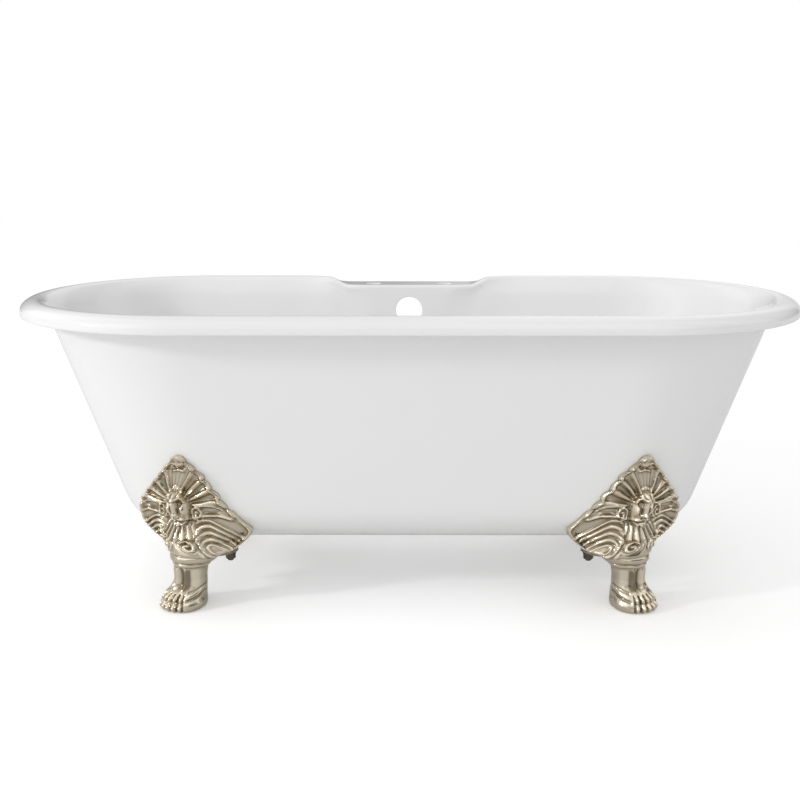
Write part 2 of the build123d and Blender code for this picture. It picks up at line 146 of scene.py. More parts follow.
def add_bump(nodes, links, shader, source, distance, strength):
    bump = nodes.new("ShaderNodeBump")
    bump.inputs["Distance"].default_value = distance
    bump.inputs["Strength"].default_value = strength
    links.new(source, bump.inputs["Height"])
    links.new(bump.outputs["Normal"], shader.inputs["Normal"])


def enamel_material():
    material, nodes, links, shader = node_material("bath_enamel_gloss")
    tint = nodes.new("ShaderNodeMix")
    tint.data_type = "RGBA"
    tint.inputs["A"].default_value = (0.875, 0.88, 0.88, 1.0)
    tint.inputs["B"].default_value = (0.905, 0.905, 0.9, 1.0)
    slow = object_noise(nodes, links, 3.0)
    links.new(slow.outputs["Fac"], tint.inputs["Factor"])
    links.new(tint.outputs["Result"], shader.inputs["Base Color"])
    fine = object_noise(nodes, links, 60.0)
    links.new(spread(nodes, links, fine.outputs["Fac"], 0.07, 0.14), shader.inputs["Roughness"])
    shader.inputs["Specular IOR Level"].default_value = 0.5
    wave = object_noise(nodes, links, 14.0, 1.0)
    add_bump(nodes, links, shader, wave.outputs["Fac"], 0.0008, 0.35)
    return material


enamel = enamel_material()
print("made", enamel.name)

# %% [markdown]
# ## Nickel
# The feet are polished nickel over a cast surface: warm, pale and mirror-like.
# Each carved piece stores a value per point for the material: painted shade, low
# in the hollows and high on raised places, with painted highlights and a painted
# dark reflection on the ankle. The material darkens the colour of low values.


# %% Nickel material
def nickel_material():
    material, nodes, links, shader = node_material("polished_nickel")
    painted_shade_and_patina = nodes.new("ShaderNodeAttribute")
    painted_shade_and_patina.attribute_name = "painted_shade_and_patina"
    painted_shade_factor = nodes.new("ShaderNodeMapRange")
    painted_shade_factor.inputs["From Min"].default_value = 0.0
    painted_shade_factor.inputs["From Max"].default_value = 1.0
    painted_shade_factor.clamp = True
    links.new(painted_shade_and_patina.outputs["Fac"], painted_shade_factor.inputs["Value"])
    # Painted shade: the dark brown colour goes where the value is low, in the hollows and the ankle's painted dark
    # reflection. The pale colour goes on high places and painted highlights. The hidden flange's low value is its own
    # dull patina.
    tint = nodes.new("ShaderNodeMix")
    tint.data_type = "RGBA"
    tint.inputs["A"].default_value = (0.25, 0.21, 0.145, 1.0)
    tint.inputs["B"].default_value = (0.72, 0.645, 0.515, 1.0)
    links.new(painted_shade_factor.outputs["Result"], tint.inputs["Factor"])
    links.new(tint.outputs["Result"], shader.inputs["Base Color"])
    shader.inputs["Metallic"].default_value = 1.0
    fine = object_noise(nodes, links, 120.0)
    links.new(spread(nodes, links, fine.outputs["Fac"], 0.11, 0.20), shader.inputs["Roughness"])
    cast = object_noise(nodes, links, 220.0)
    add_bump(nodes, links, shader, cast.outputs["Fac"], 0.0004, 0.35)
    return material


nickel = nickel_material()
print("made", nickel.name)

# %% [markdown]
# ## Fastener steel and the pad's nylon
# Studs, washers, nuts and levelling screws are dull zinc-plated steel, mottled
# and a little scratched. The pads are black nylon with a soft sheen.


# %% Fastener materials
def steel_material():
    material, nodes, links, shader = node_material("dull_zinc_steel")
    tint = nodes.new("ShaderNodeMix")
    tint.data_type = "RGBA"
    tint.inputs["A"].default_value = (0.055, 0.048, 0.040, 1.0)
    tint.inputs["B"].default_value = (0.16, 0.145, 0.125, 1.0)
    spots = object_noise(nodes, links, 160.0, 4.0)
    links.new(spots.outputs["Fac"], tint.inputs["Factor"])
    links.new(tint.outputs["Result"], shader.inputs["Base Color"])
    shader.inputs["Metallic"].default_value = 1.0
    links.new(spread(nodes, links, spots.outputs["Fac"], 0.32, 0.5), shader.inputs["Roughness"])
    return material


def nylon_material():
    material, nodes, links, shader = node_material("black_nylon")
    tint = nodes.new("ShaderNodeMix")
    tint.data_type = "RGBA"
    tint.inputs["A"].default_value = (0.025, 0.025, 0.027, 1.0)
    tint.inputs["B"].default_value = (0.05, 0.05, 0.052, 1.0)
    grain = object_noise(nodes, links, 400.0)
    links.new(grain.outputs["Fac"], tint.inputs["Factor"])
    links.new(tint.outputs["Result"], shader.inputs["Base Color"])
    shader.inputs["Roughness"].default_value = 0.55
    add_bump(nodes, links, shader, grain.outputs["Fac"], 0.0003, 0.4)
    return material


steel = steel_material()
nylon = nylon_material()
for name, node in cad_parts.items():
    if name.startswith("levelling_pad"):
        choice = nylon
    elif name.startswith("bath") or name.startswith("foot"):
        choice = nickel if name.startswith("foot") else enamel
    else:
        choice = steel
    node.data.materials.clear()
    node.data.materials.append(choice)
print("painted", len(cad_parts), "nodes")

# %% [markdown]
# ## The wall's formula
# Seen from above, every level of the bath is a stadium: two straight sides and
# two half-round ends. Seen from the side, its wall is a straight slope over a
# round bottom corner. The ends lean out more than the sides. With these two
# facts any point of the wall, or of a skin a little off it, is a formula.

# %% Bath sizes and wall formula
RIM_LENGTH, RIM_WIDTH, RIM_HEIGHT = 1.727, 0.780, 0.650
UNDERSIDE, WALL = 0.134, 0.006
END_SLOPE, SIDE_SLOPE = np.radians(20.0), np.radians(11.0)
CORNER_RADIUS = 0.107
ROLL_OVERHANG, ROLL_DEPTH = 0.063, 0.042
JOIN = RIM_HEIGHT - ROLL_DEPTH
END_TOP = RIM_LENGTH / 2 - ROLL_OVERHANG
SIDE_TOP = RIM_WIDTH / 2 - ROLL_OVERHANG
RIM_STRAIGHT = (RIM_LENGTH - RIM_WIDTH) / 2
CORNER_HEIGHT = UNDERSIDE + CORNER_RADIUS


def wall_reach(height, top, lean, grow):
    """Distance from the middle to the grown outer face: centre of the bottom
    corner plus its arc below, a line at the wall's lean above."""
    height, grow = np.broadcast_arrays(np.asarray(height, float), np.asarray(grow, float))
    touch = CORNER_HEIGHT - CORNER_RADIUS * np.sin(lean)
    centre = top - np.tan(lean) * (JOIN - touch) - CORNER_RADIUS * np.cos(lean)
    radius = CORNER_RADIUS + grow
    line_start = CORNER_HEIGHT - radius * np.sin(lean)
    line = centre + radius * np.cos(lean) + np.tan(lean) * (height - line_start)
    arc = centre + np.sqrt(np.maximum(radius**2 - (CORNER_HEIGHT - height) ** 2, 0.0))
    return np.where(height >= line_start, line, arc)


def half_length(height, grow=0.0):
    return wall_reach(height, END_TOP, END_SLOPE, grow)


def half_width(height, grow=0.0):
    return wall_reach(height, SIDE_TOP, SIDE_SLOPE, grow)


print("half length at the join", round(float(half_length(JOIN)), 4))

# %% [markdown]
# ## The bath's section
# One closed line describes the casting cut across: floor, inner corner, inner
# wall, roll, lip, hollow under the roll, outer wall, outer corner, underside.
# Each point of it becomes a ring round the bath, so it needs three numbers: how
# long the ring's straight sides are, how round its ends are, and its height.

# %% Section of the bath
CREST_INSET, NOSE_DROP, LIP_DROP, ROLL_THICKNESS = 0.035, 0.024, 0.0355, 0.007
FLOOR_RINGS, CORNER_RINGS, WALL_RINGS, APRON_RINGS = 13, 14, 10, 14
OUTSIDE_RINGS, LIP_RINGS, INSIDE_RINGS = 34, 5, 28
FLOOR_REACH = 0.1375
DECK_STEP, DECK_FRONT_INSET, DECK_THICKNESS, APRON_DROP = 0.018, 0.090, 0.008, 0.144
DECK = RIM_HEIGHT - DECK_STEP
DECK_FRONT = RIM_WIDTH / 2 - DECK_FRONT_INSET
APRON_BASE = DECK - APRON_DROP
B = RIM_WIDTH / 2
LIP = RIM_HEIGHT - LIP_DROP


def roll_paths():
    """The roll's outer line from the inner wall over the crest to the nose, its
    rounded lip, and the inner line back to the outer wall."""
    slant = np.tan((END_SLOPE + SIDE_SLOPE) / 2)
    crest = (B - CREST_INSET, RIM_HEIGHT)
    nose = (B, RIM_HEIGHT - NOSE_DROP)
    rise = OUTSIDE_RINGS // 2
    up = hermite((SIDE_TOP - WALL, JOIN), (slant * 0.05, 0.05), crest, (0.05, 0.0), rise)
    over = hermite(crest, (0.05, 0.0), nose, (0.0, -0.038), OUTSIDE_RINGS - rise + 1)
    half = ROLL_THICKNESS / 2
    lip = quarter_turn((B - half, LIP + half), half, 0.0, -np.pi, LIP_RINGS)
    under_crest = (crest[0], RIM_HEIGHT - ROLL_THICKNESS)
    half_way = INSIDE_RINGS // 2
    back = hermite((B - ROLL_THICKNESS, LIP + half), (0.0, 0.03), under_crest, (-0.035, 0.0), half_way)
    down = hermite(under_crest, (-0.035, 0.0), (SIDE_TOP, JOIN), (-slant * 0.05, -0.05), half_way + 1)
    return np.vstack([up, over[1:]]), lip, np.vstack([back[1:], down[1:]])


def ring_table():
    """Rows of straight half length, end radius and height, floor to underside."""
    rows = []

    def wall_rows(heights, grow):
        width = half_width(heights, grow)
        rows.append(np.stack([half_length(heights, grow) - width, width, heights], axis=1))

    def flat_rows(radii, height):
        spine = float(half_length(CORNER_HEIGHT - CORNER_RADIUS) - half_width(CORNER_HEIGHT - CORNER_RADIUS))
        rows.append(np.stack([np.full(len(radii), spine), radii, np.full(len(radii), height)], axis=1))

    corner_side = float(half_width(UNDERSIDE))
    inner = CORNER_RADIUS - WALL
    angles = np.linspace(np.pi / 2, SIDE_SLOPE, CORNER_RINGS)
    floor_radii = np.append(np.linspace(0.0, FLOOR_REACH, FLOOR_RINGS - 1), corner_side)
    flat_rows(floor_radii[:-1], UNDERSIDE + WALL)
    wall_rows(CORNER_HEIGHT - inner * np.sin(angles), -WALL)
    shoulder = CORNER_HEIGHT - inner * np.sin(SIDE_SLOPE)
    wall_rows(np.linspace(shoulder, APRON_BASE, WALL_RINGS)[1:], -WALL)
    wall_rows(np.linspace(APRON_BASE, JOIN, APRON_RINGS)[1:-1], -WALL)
    for path in roll_paths():
        rows.append(np.column_stack([np.full(len(path), RIM_STRAIGHT), path]))
    wall_rows(np.linspace(JOIN, APRON_BASE, APRON_RINGS)[1:], 0.0)
    shoulder = CORNER_HEIGHT - CORNER_RADIUS * np.sin(SIDE_SLOPE)
    wall_rows(np.linspace(APRON_BASE, shoulder, WALL_RINGS)[1:], 0.0)
    wall_rows(CORNER_HEIGHT - CORNER_RADIUS * np.sin(angles[::-1])[1:], 0.0)
    flat_rows(floor_radii[::-1][1:], UNDERSIDE)
    return np.vstack(rows)


rings = ring_table()
print("rings:", rings.shape)

# %% [markdown]
# ## Columns round the bath
# Seen from above the columns run clockwise from the back left corner. Along the
# middle half metre they keep a fixed X at every height, so that the tap deck and
# the holes can be cut out of flat, regular stretches of the table.

# %% Columns round the bath
FIXED, END_COLUMNS, SIDE_COLUMNS = 0.25, 48, 8
DECK_FLAT, DECK_END = 0.149, 0.202
TAP_X, TAP_Y, TAP_RADIUS, TAP_WINDOW = 0.089, 0.336, 0.0175, 0.022
MIDDLE_WINDOW = 0.05


def column_table():
    """Fixed X, share of the straight beyond it, and the end curve's direction."""
    half = np.concatenate([
        straight(0.0, MIDDLE_WINDOW, 5), straight(TAP_X - TAP_WINDOW, TAP_X + TAP_WINDOW, 9),
        [0.130, 0.143], straight(DECK_FLAT, DECK_END, 13), straight(DECK_END, FIXED, 5)[1:],
    ])
    middle = np.concatenate([-half[:0:-1], half])
    zero, one = np.zeros_like(middle), np.ones_like(middle)
    share = straight(1.0, 0.0, SIDE_COLUMNS + 1)[:-1]
    back = np.vstack([
        np.column_stack([-FIXED + 0 * share, share, 0 * share, 0 * share + 1]),
        np.column_stack([middle, zero, zero, one]),
        np.column_stack([FIXED + 0 * share, share[::-1], 0 * share, 0 * share + 1]),
    ])
    angle = straight(np.pi / 2, -np.pi / 2, END_COLUMNS + 1)[1:-1]
    right = np.column_stack([FIXED + 0 * angle, 0 * angle + 1, np.cos(angle), np.sin(angle)])
    front, left = back[::-1] * [1, 1, 1, -1], right[::-1] * [-1, 1, -1, 1]
    return np.vstack([back, right, front, left])


columns = column_table()
back_count = 2 * SIDE_COLUMNS + (len(columns) - 4 * SIDE_COLUMNS - 2 * (END_COLUMNS - 1)) // 2
print("columns:", len(columns), "of them at the back:", back_count)

# %% [markdown]
# ## Tap deck
# In the middle of the back the roll gives way to a flat shelf with an upright
# apron under its front edge. We write that stretch as a second section, with as
# many points as the wall and the roll have there, and slide from one section to
# the other along a smooth step. That is how the swept ends of the deck come out
# by themselves.

# %% Section of the tap deck
DECK_EDGE_RADIUS, DECK_NOSE_RADIUS, POCKET_RADIUS = 0.007, 0.007, 0.004
APRON_FLAT, APRON_END, APRON_NARROWING, APRON_BLEND = 0.112, 0.272, 0.050, 0.010
OVERFLOW_HEIGHT, OVERFLOW_RADIUS, OVERFLOW_WINDOW = RIM_HEIGHT - 0.080, 0.033, 0.045
ROOF = DECK - DECK_THICKNESS
APRON_FOOT = float(half_width(APRON_BASE, -WALL))
APRON_THICKNESS = float(half_width(APRON_BASE)) - APRON_FOOT


def apron_y(height):
    """Y of the apron's front face, a plane from the wall up to the deck's edge."""
    return APRON_FOOT + (DECK_FRONT - APRON_FOOT) * (height - APRON_BASE) / (DECK - APRON_BASE)


def deck_section():
    """Y and height, from the apron's foot over the deck and back down behind it."""
    low, high = OVERFLOW_HEIGHT - OVERFLOW_WINDOW, OVERFLOW_HEIGHT + OVERFLOW_WINDOW
    face = np.concatenate([straight(APRON_BASE, low, 4), straight(low, high, 19)[1:]])
    up = np.concatenate([face, straight(high, DECK - DECK_EDGE_RADIUS, 3)[1:]])
    front_edge = quarter_turn((apron_y(DECK) + DECK_EDGE_RADIUS, DECK - DECK_EDGE_RADIUS),
                              DECK_EDGE_RADIUS, np.pi, np.pi / 2, 7)[1:]
    near, far = TAP_Y - TAP_WINDOW, TAP_Y + TAP_WINDOW
    run = np.concatenate([straight(front_edge[-1, 0], near, 3)[1:], straight(near, far, 9)[1:],
                          straight(far, B - DECK_NOSE_RADIUS, 3)[1:]])
    nose = quarter_turn((B - DECK_NOSE_RADIUS, DECK - DECK_NOSE_RADIUS), DECK_NOSE_RADIUS, np.pi / 2, 0.0, 6)[1:]
    lip = roll_paths()[1]
    inner = B - ROLL_THICKNESS
    corner = apron_y(ROOF) + APRON_THICKNESS
    roof = np.concatenate([[inner - POCKET_RADIUS], straight(far, near, 9), straight(near, corner + POCKET_RADIUS, 3)[1:]])
    pocket = quarter_turn((corner + POCKET_RADIUS, ROOF - POCKET_RADIUS), POCKET_RADIUS, np.pi / 2, np.pi, 6)[1:]
    down = face[::-1]
    return np.vstack([
        np.column_stack([apron_y(up), up]), front_edge, np.column_stack([run, 0 * run + DECK]), nose, lip,
        [(inner, ROOF - POCKET_RADIUS)], np.column_stack([roof, 0 * roof + ROOF]), pocket,
        np.column_stack([apron_y(down) + APRON_THICKNESS, down]),
    ])


deck_start = (FLOOR_RINGS - 1) + CORNER_RINGS + (WALL_RINGS - 1) - 1
deck = deck_section()
print("deck rows:", len(deck), "from ring", deck_start)

# %% [markdown]
# ## Holes
# A round hole in a table of squares is awkward, so we take out a rectangular
# window of faces and fill it with rings that change from the window's outline to
# the hole's circle. The same rings then go down the hole, with a rounded rim at
# both faces, and out again to the window on the other side.


# %% Hole helpers
def window_loop(index, rows, across):
    """Vertex numbers round a window of the table; rows may run backwards."""
    first, last = rows
    step = 1 if last > first else -1
    down = np.arange(first, last, step)
    side = np.arange(across[0], across[1])
    return np.concatenate([index[first, side], index[down, across[1]],
                           index[last, side[::-1] + 1], index[down[::-1] + step, across[0]]])


def hole_rings(near_loop, far_loop, centre, normal, profile):
    """Rings from one window's outline, down a hole's profile of radius and depth,
    to the other window's outline."""
    reach = near_loop - centre
    reach = reach - np.outer(reach @ normal, normal)
    reach = reach / np.linalg.norm(reach, axis=1)[:, None]
    bore = [centre + radius * reach - depth * normal for radius, depth in profile]
    blend = (0.25, 0.5, 0.75)
    near = [near_loop * (1 - mix) + bore[0] * mix for mix in blend]
    far = [bore[-1] * (1 - mix) + far_loop * mix for mix in blend]
    return np.array(near + bore + far)


def plain_hole(radius, edge, depth):
    """Radius and depth of the rings of a straight hole with rounded rims."""
    turn = np.linspace(0.0, np.pi / 2, 5)
    rim = np.stack([radius + edge * (1 - np.sin(turn)), edge * (1 - np.cos(turn))], axis=1)
    return np.vstack([rim, (rim * [1, -1] + [0, depth])[::-1]])


def drain_profile():
    """The seat that a waste's flange lies in, then the drain's bore."""
    return np.array([(0.0400, 0.0), (0.0386, 0.0002), (0.0380, 0.0008), (0.0380, 0.0019), (0.0376, 0.0020),
                     (0.0300, 0.0020), (0.0270, 0.0021), (0.0262, 0.0024), (0.0260, 0.0030),
                     (0.0260, 0.0055), (0.0262, 0.0060)])


# %% [markdown]
# ## The enamelled casting
# Now the rings and the columns meet. A ring gives the straight half length, the
# end radius and the height; a column says where on that ring it lies. The deck
# is mixed in, the four holes are opened, and the seam along the floor's middle
# line is welded.


# %% Bath shell
def bath_points():
    """Every ring at every column, with the tap deck mixed in at the back."""
    fixed, share, out_x, out_y = columns.T
    spine, radius, height = rings[:, :1], rings[:, 1:2], rings[:, 2:]
    x = fixed + np.sign(fixed) * share * (spine - FIXED) + radius * out_x
    y = radius * out_y
    z = height + 0 * x
    rows = slice(deck_start, deck_start + len(deck))
    back = slice(0, back_count)
    across = np.abs(x[rows, back])
    depth = 1 - np.clip((deck[:, 1:] - APRON_BASE) / (ROOF - APRON_BASE), 0, 1) ** 6
    flat, end = APRON_FLAT - APRON_NARROWING * depth, APRON_END + APRON_BLEND * depth
    y[rows, back] += (1 - smooth_step((across - flat) / (end - flat))) * (deck[:, :1] - y[rows, back])
    step = 1 - smooth_step((across - DECK_FLAT) / (DECK_END - DECK_FLAT))
    z[rows, back] += step * (deck[:, 1:] - z[rows, back])
    return np.stack([x, y, z], axis=-1)


def nearest(values, wanted):
    return int(np.argmin(np.abs(values - wanted)))


def bath_shell():
    """The casting's skin with its two tap holes, overflow and drain."""
    table = bath_points()
    index = np.arange(table.shape[0] * table.shape[1]).reshape(table.shape[:2])
    keep = np.ones((index.shape[0] - 1, index.shape[1]), dtype=bool)
    points, faces = [table.reshape(-1, 3)], []
    middle_x = columns[:back_count, 0] + 0.0
    middle_x[columns[:back_count, 1] > 0] = np.inf
    fan = len(deck) - 1

    def cut(near_rows, far_rows, half, middle, centre, normal, profile):
        across = (nearest(middle_x, middle - half), nearest(middle_x, middle + half))
        flat = table.reshape(-1, 3)
        near_loop = window_loop(index, near_rows, across)
        far_loop = window_loop(index, far_rows, across)
        new = hole_rings(flat[near_loop], flat[far_loop], np.array(centre), np.array(normal), profile)
        start = sum(len(block) for block in points)
        numbers = start + np.arange(new.shape[0] * new.shape[1]).reshape(new.shape[:2])
        points.append(new.reshape(-1, 3))
        faces.append(grid_faces(np.vstack([near_loop, numbers, far_loop]), closed=True))
        for rows in (near_rows, far_rows):
            keep[min(rows):max(rows), across[0]:across[1]] = False

    lean = np.arctan2(apron_y(APRON_BASE) - apron_y(DECK), DECK - APRON_BASE)
    normal = (0.0, -np.cos(lean), -np.sin(lean))
    face = deck_start + 3
    low_face = deck_start + fan - 3
    cut((face, face + 18), (low_face, low_face - 18), MIDDLE_WINDOW, 0.0,
        (0.0, apron_y(OVERFLOW_HEIGHT), OVERFLOW_HEIGHT), normal,
        plain_hole(OVERFLOW_RADIUS, 0.002, APRON_THICKNESS * np.cos(lean)))
    top = deck_start + 3 + 18 + 2 + 6 + 2
    roof = top + 8 + 2 + 5 + LIP_RINGS + 3
    for hand in (-1, 1):
        cut((top, top + 8), (roof + 8, roof), TAP_WINDOW, hand * TAP_X, (hand * TAP_X, TAP_Y, DECK),
            (0.0, 0.0, 1.0), plain_hole(TAP_RADIUS, 0.0015, DECK_THICKNESS))
    floor = (2, 10)
    under = tuple(len(rings) - 1 - row for row in floor)
    cut(floor, under, MIDDLE_WINDOW, 0.0, (0.0, 0.075, UNDERSIDE + WALL), (0.0, 0.0, 1.0), drain_profile())
    faces.append(grid_faces(index, closed=True)[keep.reshape(-1)])
    return np.vstack(points), np.vstack(faces)


def weld(piece, gap=1e-6):
    """Joins points that lie in one place, which closes seams and poles."""
    shape = bmesh.new()
    shape.from_mesh(piece.data)
    bmesh.ops.remove_doubles(shape, verts=shape.verts, dist=gap)
    bmesh.ops.dissolve_degenerate(shape, edges=shape.edges, dist=gap)
    shape.to_mesh(piece.data)
    open_edges = sum(1 for edge in shape.edges if not edge.is_manifold)
    shape.free()
    print(piece.name, "open edges:", open_edges)


# %% [markdown]
# ## Foot places
# Each foot faces outwards at 24 degrees from the bath's side, and its ankle
# stands just inside the wall. We work out the front right foot once; the others
# are its mirror images.

# %% Foot places
FOOT_WALL_ANGLE, FOOT_FACING, ANKLE_INSET, MASK_HEIGHT = np.radians(16.0), np.radians(24.0), 0.010, 0.225
OUT = np.array([np.sin(FOOT_FACING), -np.cos(FOOT_FACING)])
ALONG = np.array([-OUT[1], OUT[0]])
mask_width_here = float(half_width(MASK_HEIGHT))
ANKLE = np.array([
    float(half_length(MASK_HEIGHT)) - mask_width_here + mask_width_here * np.sin(FOOT_WALL_ANGLE),
    -mask_width_here * np.cos(FOOT_WALL_ANGLE),
]) - ANKLE_INSET * OUT
CORNERS = {"front_right": (1, 1), "front_left": (-1, 1), "back_right": (1, -1), "back_left": (-1, -1)}


def wall_place(side, height, grow):
    """The point of the grown wall at an arc distance from the foot's middle."""
    width = half_width(height, grow)
    spine = half_length(height, grow) - width
    angle = FOOT_WALL_ANGLE + side / width
    bent = angle >= 0
    x = spine + np.where(bent, width * np.sin(angle), width * angle)
    y = -np.where(bent, width * np.cos(angle), width)
    return np.stack([x, y, height + 0 * x], axis=-1)


def leg_place(side, out, height):
    """A point given by its distances along the plate, outwards, and up."""
    x = ANKLE[0] + ALONG[0] * side + OUT[0] * out
    y = ANKLE[1] + ALONG[1] * side + OUT[1] * out
    return np.stack([x, y, height + 0 * x], axis=-1)


print("ankle at", ANKLE.round(4))

# %% [markdown]
# ## Leg plate outline
# The carved plate is a kite: a knob on top, scalloped upper edges, wing tips,
# and lower edges that draw in to the collar. Its half widths at each height come
# from a few points, with a longer wing on the side of the bath's middle, and the
# scallops are half waves along the edge.

# %% Leg plate outline
PLATE_LOW, PLATE_TOP, WING_HEIGHT = 0.120, 0.345, 0.168
OUTLINE_HEIGHT = np.array([120, 130, 141, 153, 160, 166, 172, 180, 192, 204, 219, 231, 246, 255, 274, 298, 320, 330,
                           338, 343, 345]) / 1000
OUTLINE_INNER = np.array([74, 98, 116, 127, 133, 136.5, 137.5, 133, 121, 111, 99, 89, 81, 76, 62, 50, 28, 18, 14, 8,
                          0.8]) / 1000
OUTLINE_OUTER = np.array([52, 64, 79, 96, 107, 116, 123, 129, 133, 131, 121, 110, 98, 90, 70, 48, 26, 17, 14, 8,
                          0.8]) / 1000
SCALLOP_LENGTH, SCALLOP_DEPTH = 0.0270, 0.0070


def scallop_phase(height):
    """Counts scallops down the upper edge from the knob, at each height."""
    fine = np.linspace(PLATE_TOP, PLATE_LOW, 900)
    half = np.interp(fine, OUTLINE_HEIGHT, OUTLINE_INNER)
    step = np.hypot(np.diff(fine, prepend=fine[0]), np.diff(half, prepend=half[0]))
    length = np.cumsum(step)
    knob = np.interp(-0.330, -fine, length)
    return (np.interp(-height, -fine, length) - knob) / SCALLOP_LENGTH


def plate_half(height, outline):
    """Half width along the wall, with scallops between the knob and the wing."""
    half = np.interp(height, OUTLINE_HEIGHT, outline)
    phase = scallop_phase(height)
    there = smooth_step((height - 0.203) / 0.012) * smooth_step(phase * 4)
    return half + there * SCALLOP_DEPTH * (np.abs(np.sin(np.pi * phase)) ** 0.55 - 0.65)


print("plate half width at the wing:", round(float(plate_half(np.array(WING_HEIGHT), OUTLINE_INNER)), 4))

# %% [markdown]
# ## Carving
# The carving is a height map over the plate, the way a carver thinks of it:
# ridges and hollows of so many millimetres. A shell of flutes fans up and out
# from a lion's mask, scrolls curl beside it, ribs sweep into the wings, and the
# lion's beard runs down to the collar. Each is a formula of x, the distance from
# the middle, and z, the height, both in millimetres.


# %% Carving helpers
def ridge(count):
    """Thin ridges at whole numbers with wide hollows between."""
    return np.abs(np.cos(np.pi * count)) ** 3


def knoll(x, z, at_x, at_z, wide, tall):
    """A round hill of height 1."""
    return np.exp(-(((x - at_x) / wide) ** 2) - ((z - at_z) / tall) ** 2)


def stroke(x, z, path, width):
    """A rounded bar of height 1 along a chain of points."""
    best = np.full(x.shape, np.inf)
    for (ax, az), (bx, bz) in zip(path[:-1], path[1:]):
        run_x, run_z = bx - ax, bz - az
        share = np.clip(((x - ax) * run_x + (z - az) * run_z) / (run_x**2 + run_z**2), 0.0, 1.0)
        best = np.minimum(best, np.hypot(x - ax - share * run_x, z - az - share * run_z))
    return np.exp(-((best / width) ** 2))


# %% [markdown]
# ### Shell, scrolls and wings
# The flutes are narrow at the top and wide at the sides. A rolled edge follows
# the scallops. The ribs of the wing share one focus, the eye of the low scroll,
# and run together at the wing's tip.


# %% Shell, scrolls and wings
def shell_carving(x, z, half, phase):
    """Flutes fanning from the mask, with a rolled edge along the scallops."""
    turn = np.degrees(np.arctan2(x, z - 226.0))
    reach = np.hypot(x, z - 226.0)
    inside = smooth_step((reach - 26.0) / 12.0) * smooth_step((100.0 - turn) / 8.0)
    edge = half - x
    panel = smooth_step((19.0 - turn) / 4.0)
    wide = ridge((turn - 19.0) / 21.0) * (1 - panel * (turn < 19.0))
    middle = panel * (1.3 * np.abs(np.cos(np.pi * turn / 7.5)) + 1.2)
    flutes = inside * (8.5 * wide + middle - 4.0)
    roll = smooth_step((z - 196.0) / 14.0) * bell(edge - 5.0, 5.0)
    lobes = 0.35 + 0.65 * np.abs(np.sin(np.pi * phase)) ** 0.7
    notch = smooth_step((z - 207.0) / 10.0) * bell(edge - 9.0, 7.0) * bell(np.mod(phase + 0.5, 1.0) - 0.5, 0.16)
    return flutes + 6.5 * roll * lobes - 3.5 * notch


def spiral(x, z, at_x, at_z, pitch, reach):
    """A curled ridge of height 1: it winds in by one pitch a turn."""
    radius = np.hypot(x - at_x, z - at_z)
    turn = np.arctan2(z - at_z, x - at_x) / (2 * np.pi)
    return np.abs(np.cos(np.pi * (radius / pitch - turn))) ** 1.6 * smooth_step((reach - radius) / 4.0)


def scroll_carving(x, z):
    """A tall curl beside the mask, and the strap that runs from it to the edge."""
    ring = 6.5 * spiral(x, (z - 212.0) * 0.75, 42.0, 0.0, 8.0, 15.0)
    band = stroke(x, z, [(42.0, 226.0), (58.0, 229.0), (78.0, 228.0), (96.0, 220.0)], 3.6)
    low = stroke(x, z, [(50.0, 205.0), (66.0, 207.0), (86.0, 207.0), (112.0, 198.0)], 3.8)
    hollow = knoll(x, z, 72.0, 218.0, 18.0, 6.0)
    return ring + 6.5 * band + 6.0 * low - 6.0 * hollow


def wing_carving(x, z, half):
    """Ribs that arch over the low scroll's eye and slope down to the wing's edge."""
    eye_x, eye_z, arch = 60.0, 138.0, 60.0
    beyond = np.maximum(x - eye_x, 0.0)
    slope = (z - eye_z) + 0.72 * beyond**2 / (beyond + 14.0)
    round_it = np.hypot((x - eye_x) * 1.1, z - eye_z)
    level = np.where(x > eye_x, slope, round_it) / arch
    there = smooth_step((x - 30.0) / 8.0) * smooth_step((1.06 - level) / 0.08) * smooth_step((level - 0.06) / 0.10)
    wide = np.abs(np.cos(np.pi * (level * 4.6 - 0.5))) ** 0.9
    thin = smooth_step((60.0 - x) / 20.0) * smooth_step((0.75 - level) / 0.1) * np.cos(2 * np.pi * level * 9.0)
    edge = half - x
    ribs = there * (6.5 * wide - 2.0 + 1.2 * thin) * smooth_step((edge - 1.0) / 5.0)
    leaf = 6.0 * stroke(x, z, [(38.0, 166.0), (38.0, 154.0), (44.0, 143.0)], 4.5)
    hem = 3.0 * bell(edge - 3.5, 3.5) * smooth_step((192.0 - z) / 8.0) * smooth_step((z - 122.0) / 10.0)
    return ribs + leaf + hem


# %% [markdown]
# ### Lion's mask
# The mask stands proudest: a domed head with a tuft, brows over hollow eyes, a
# long nose, a muzzle with a curled moustache, and a beard in vertical locks.


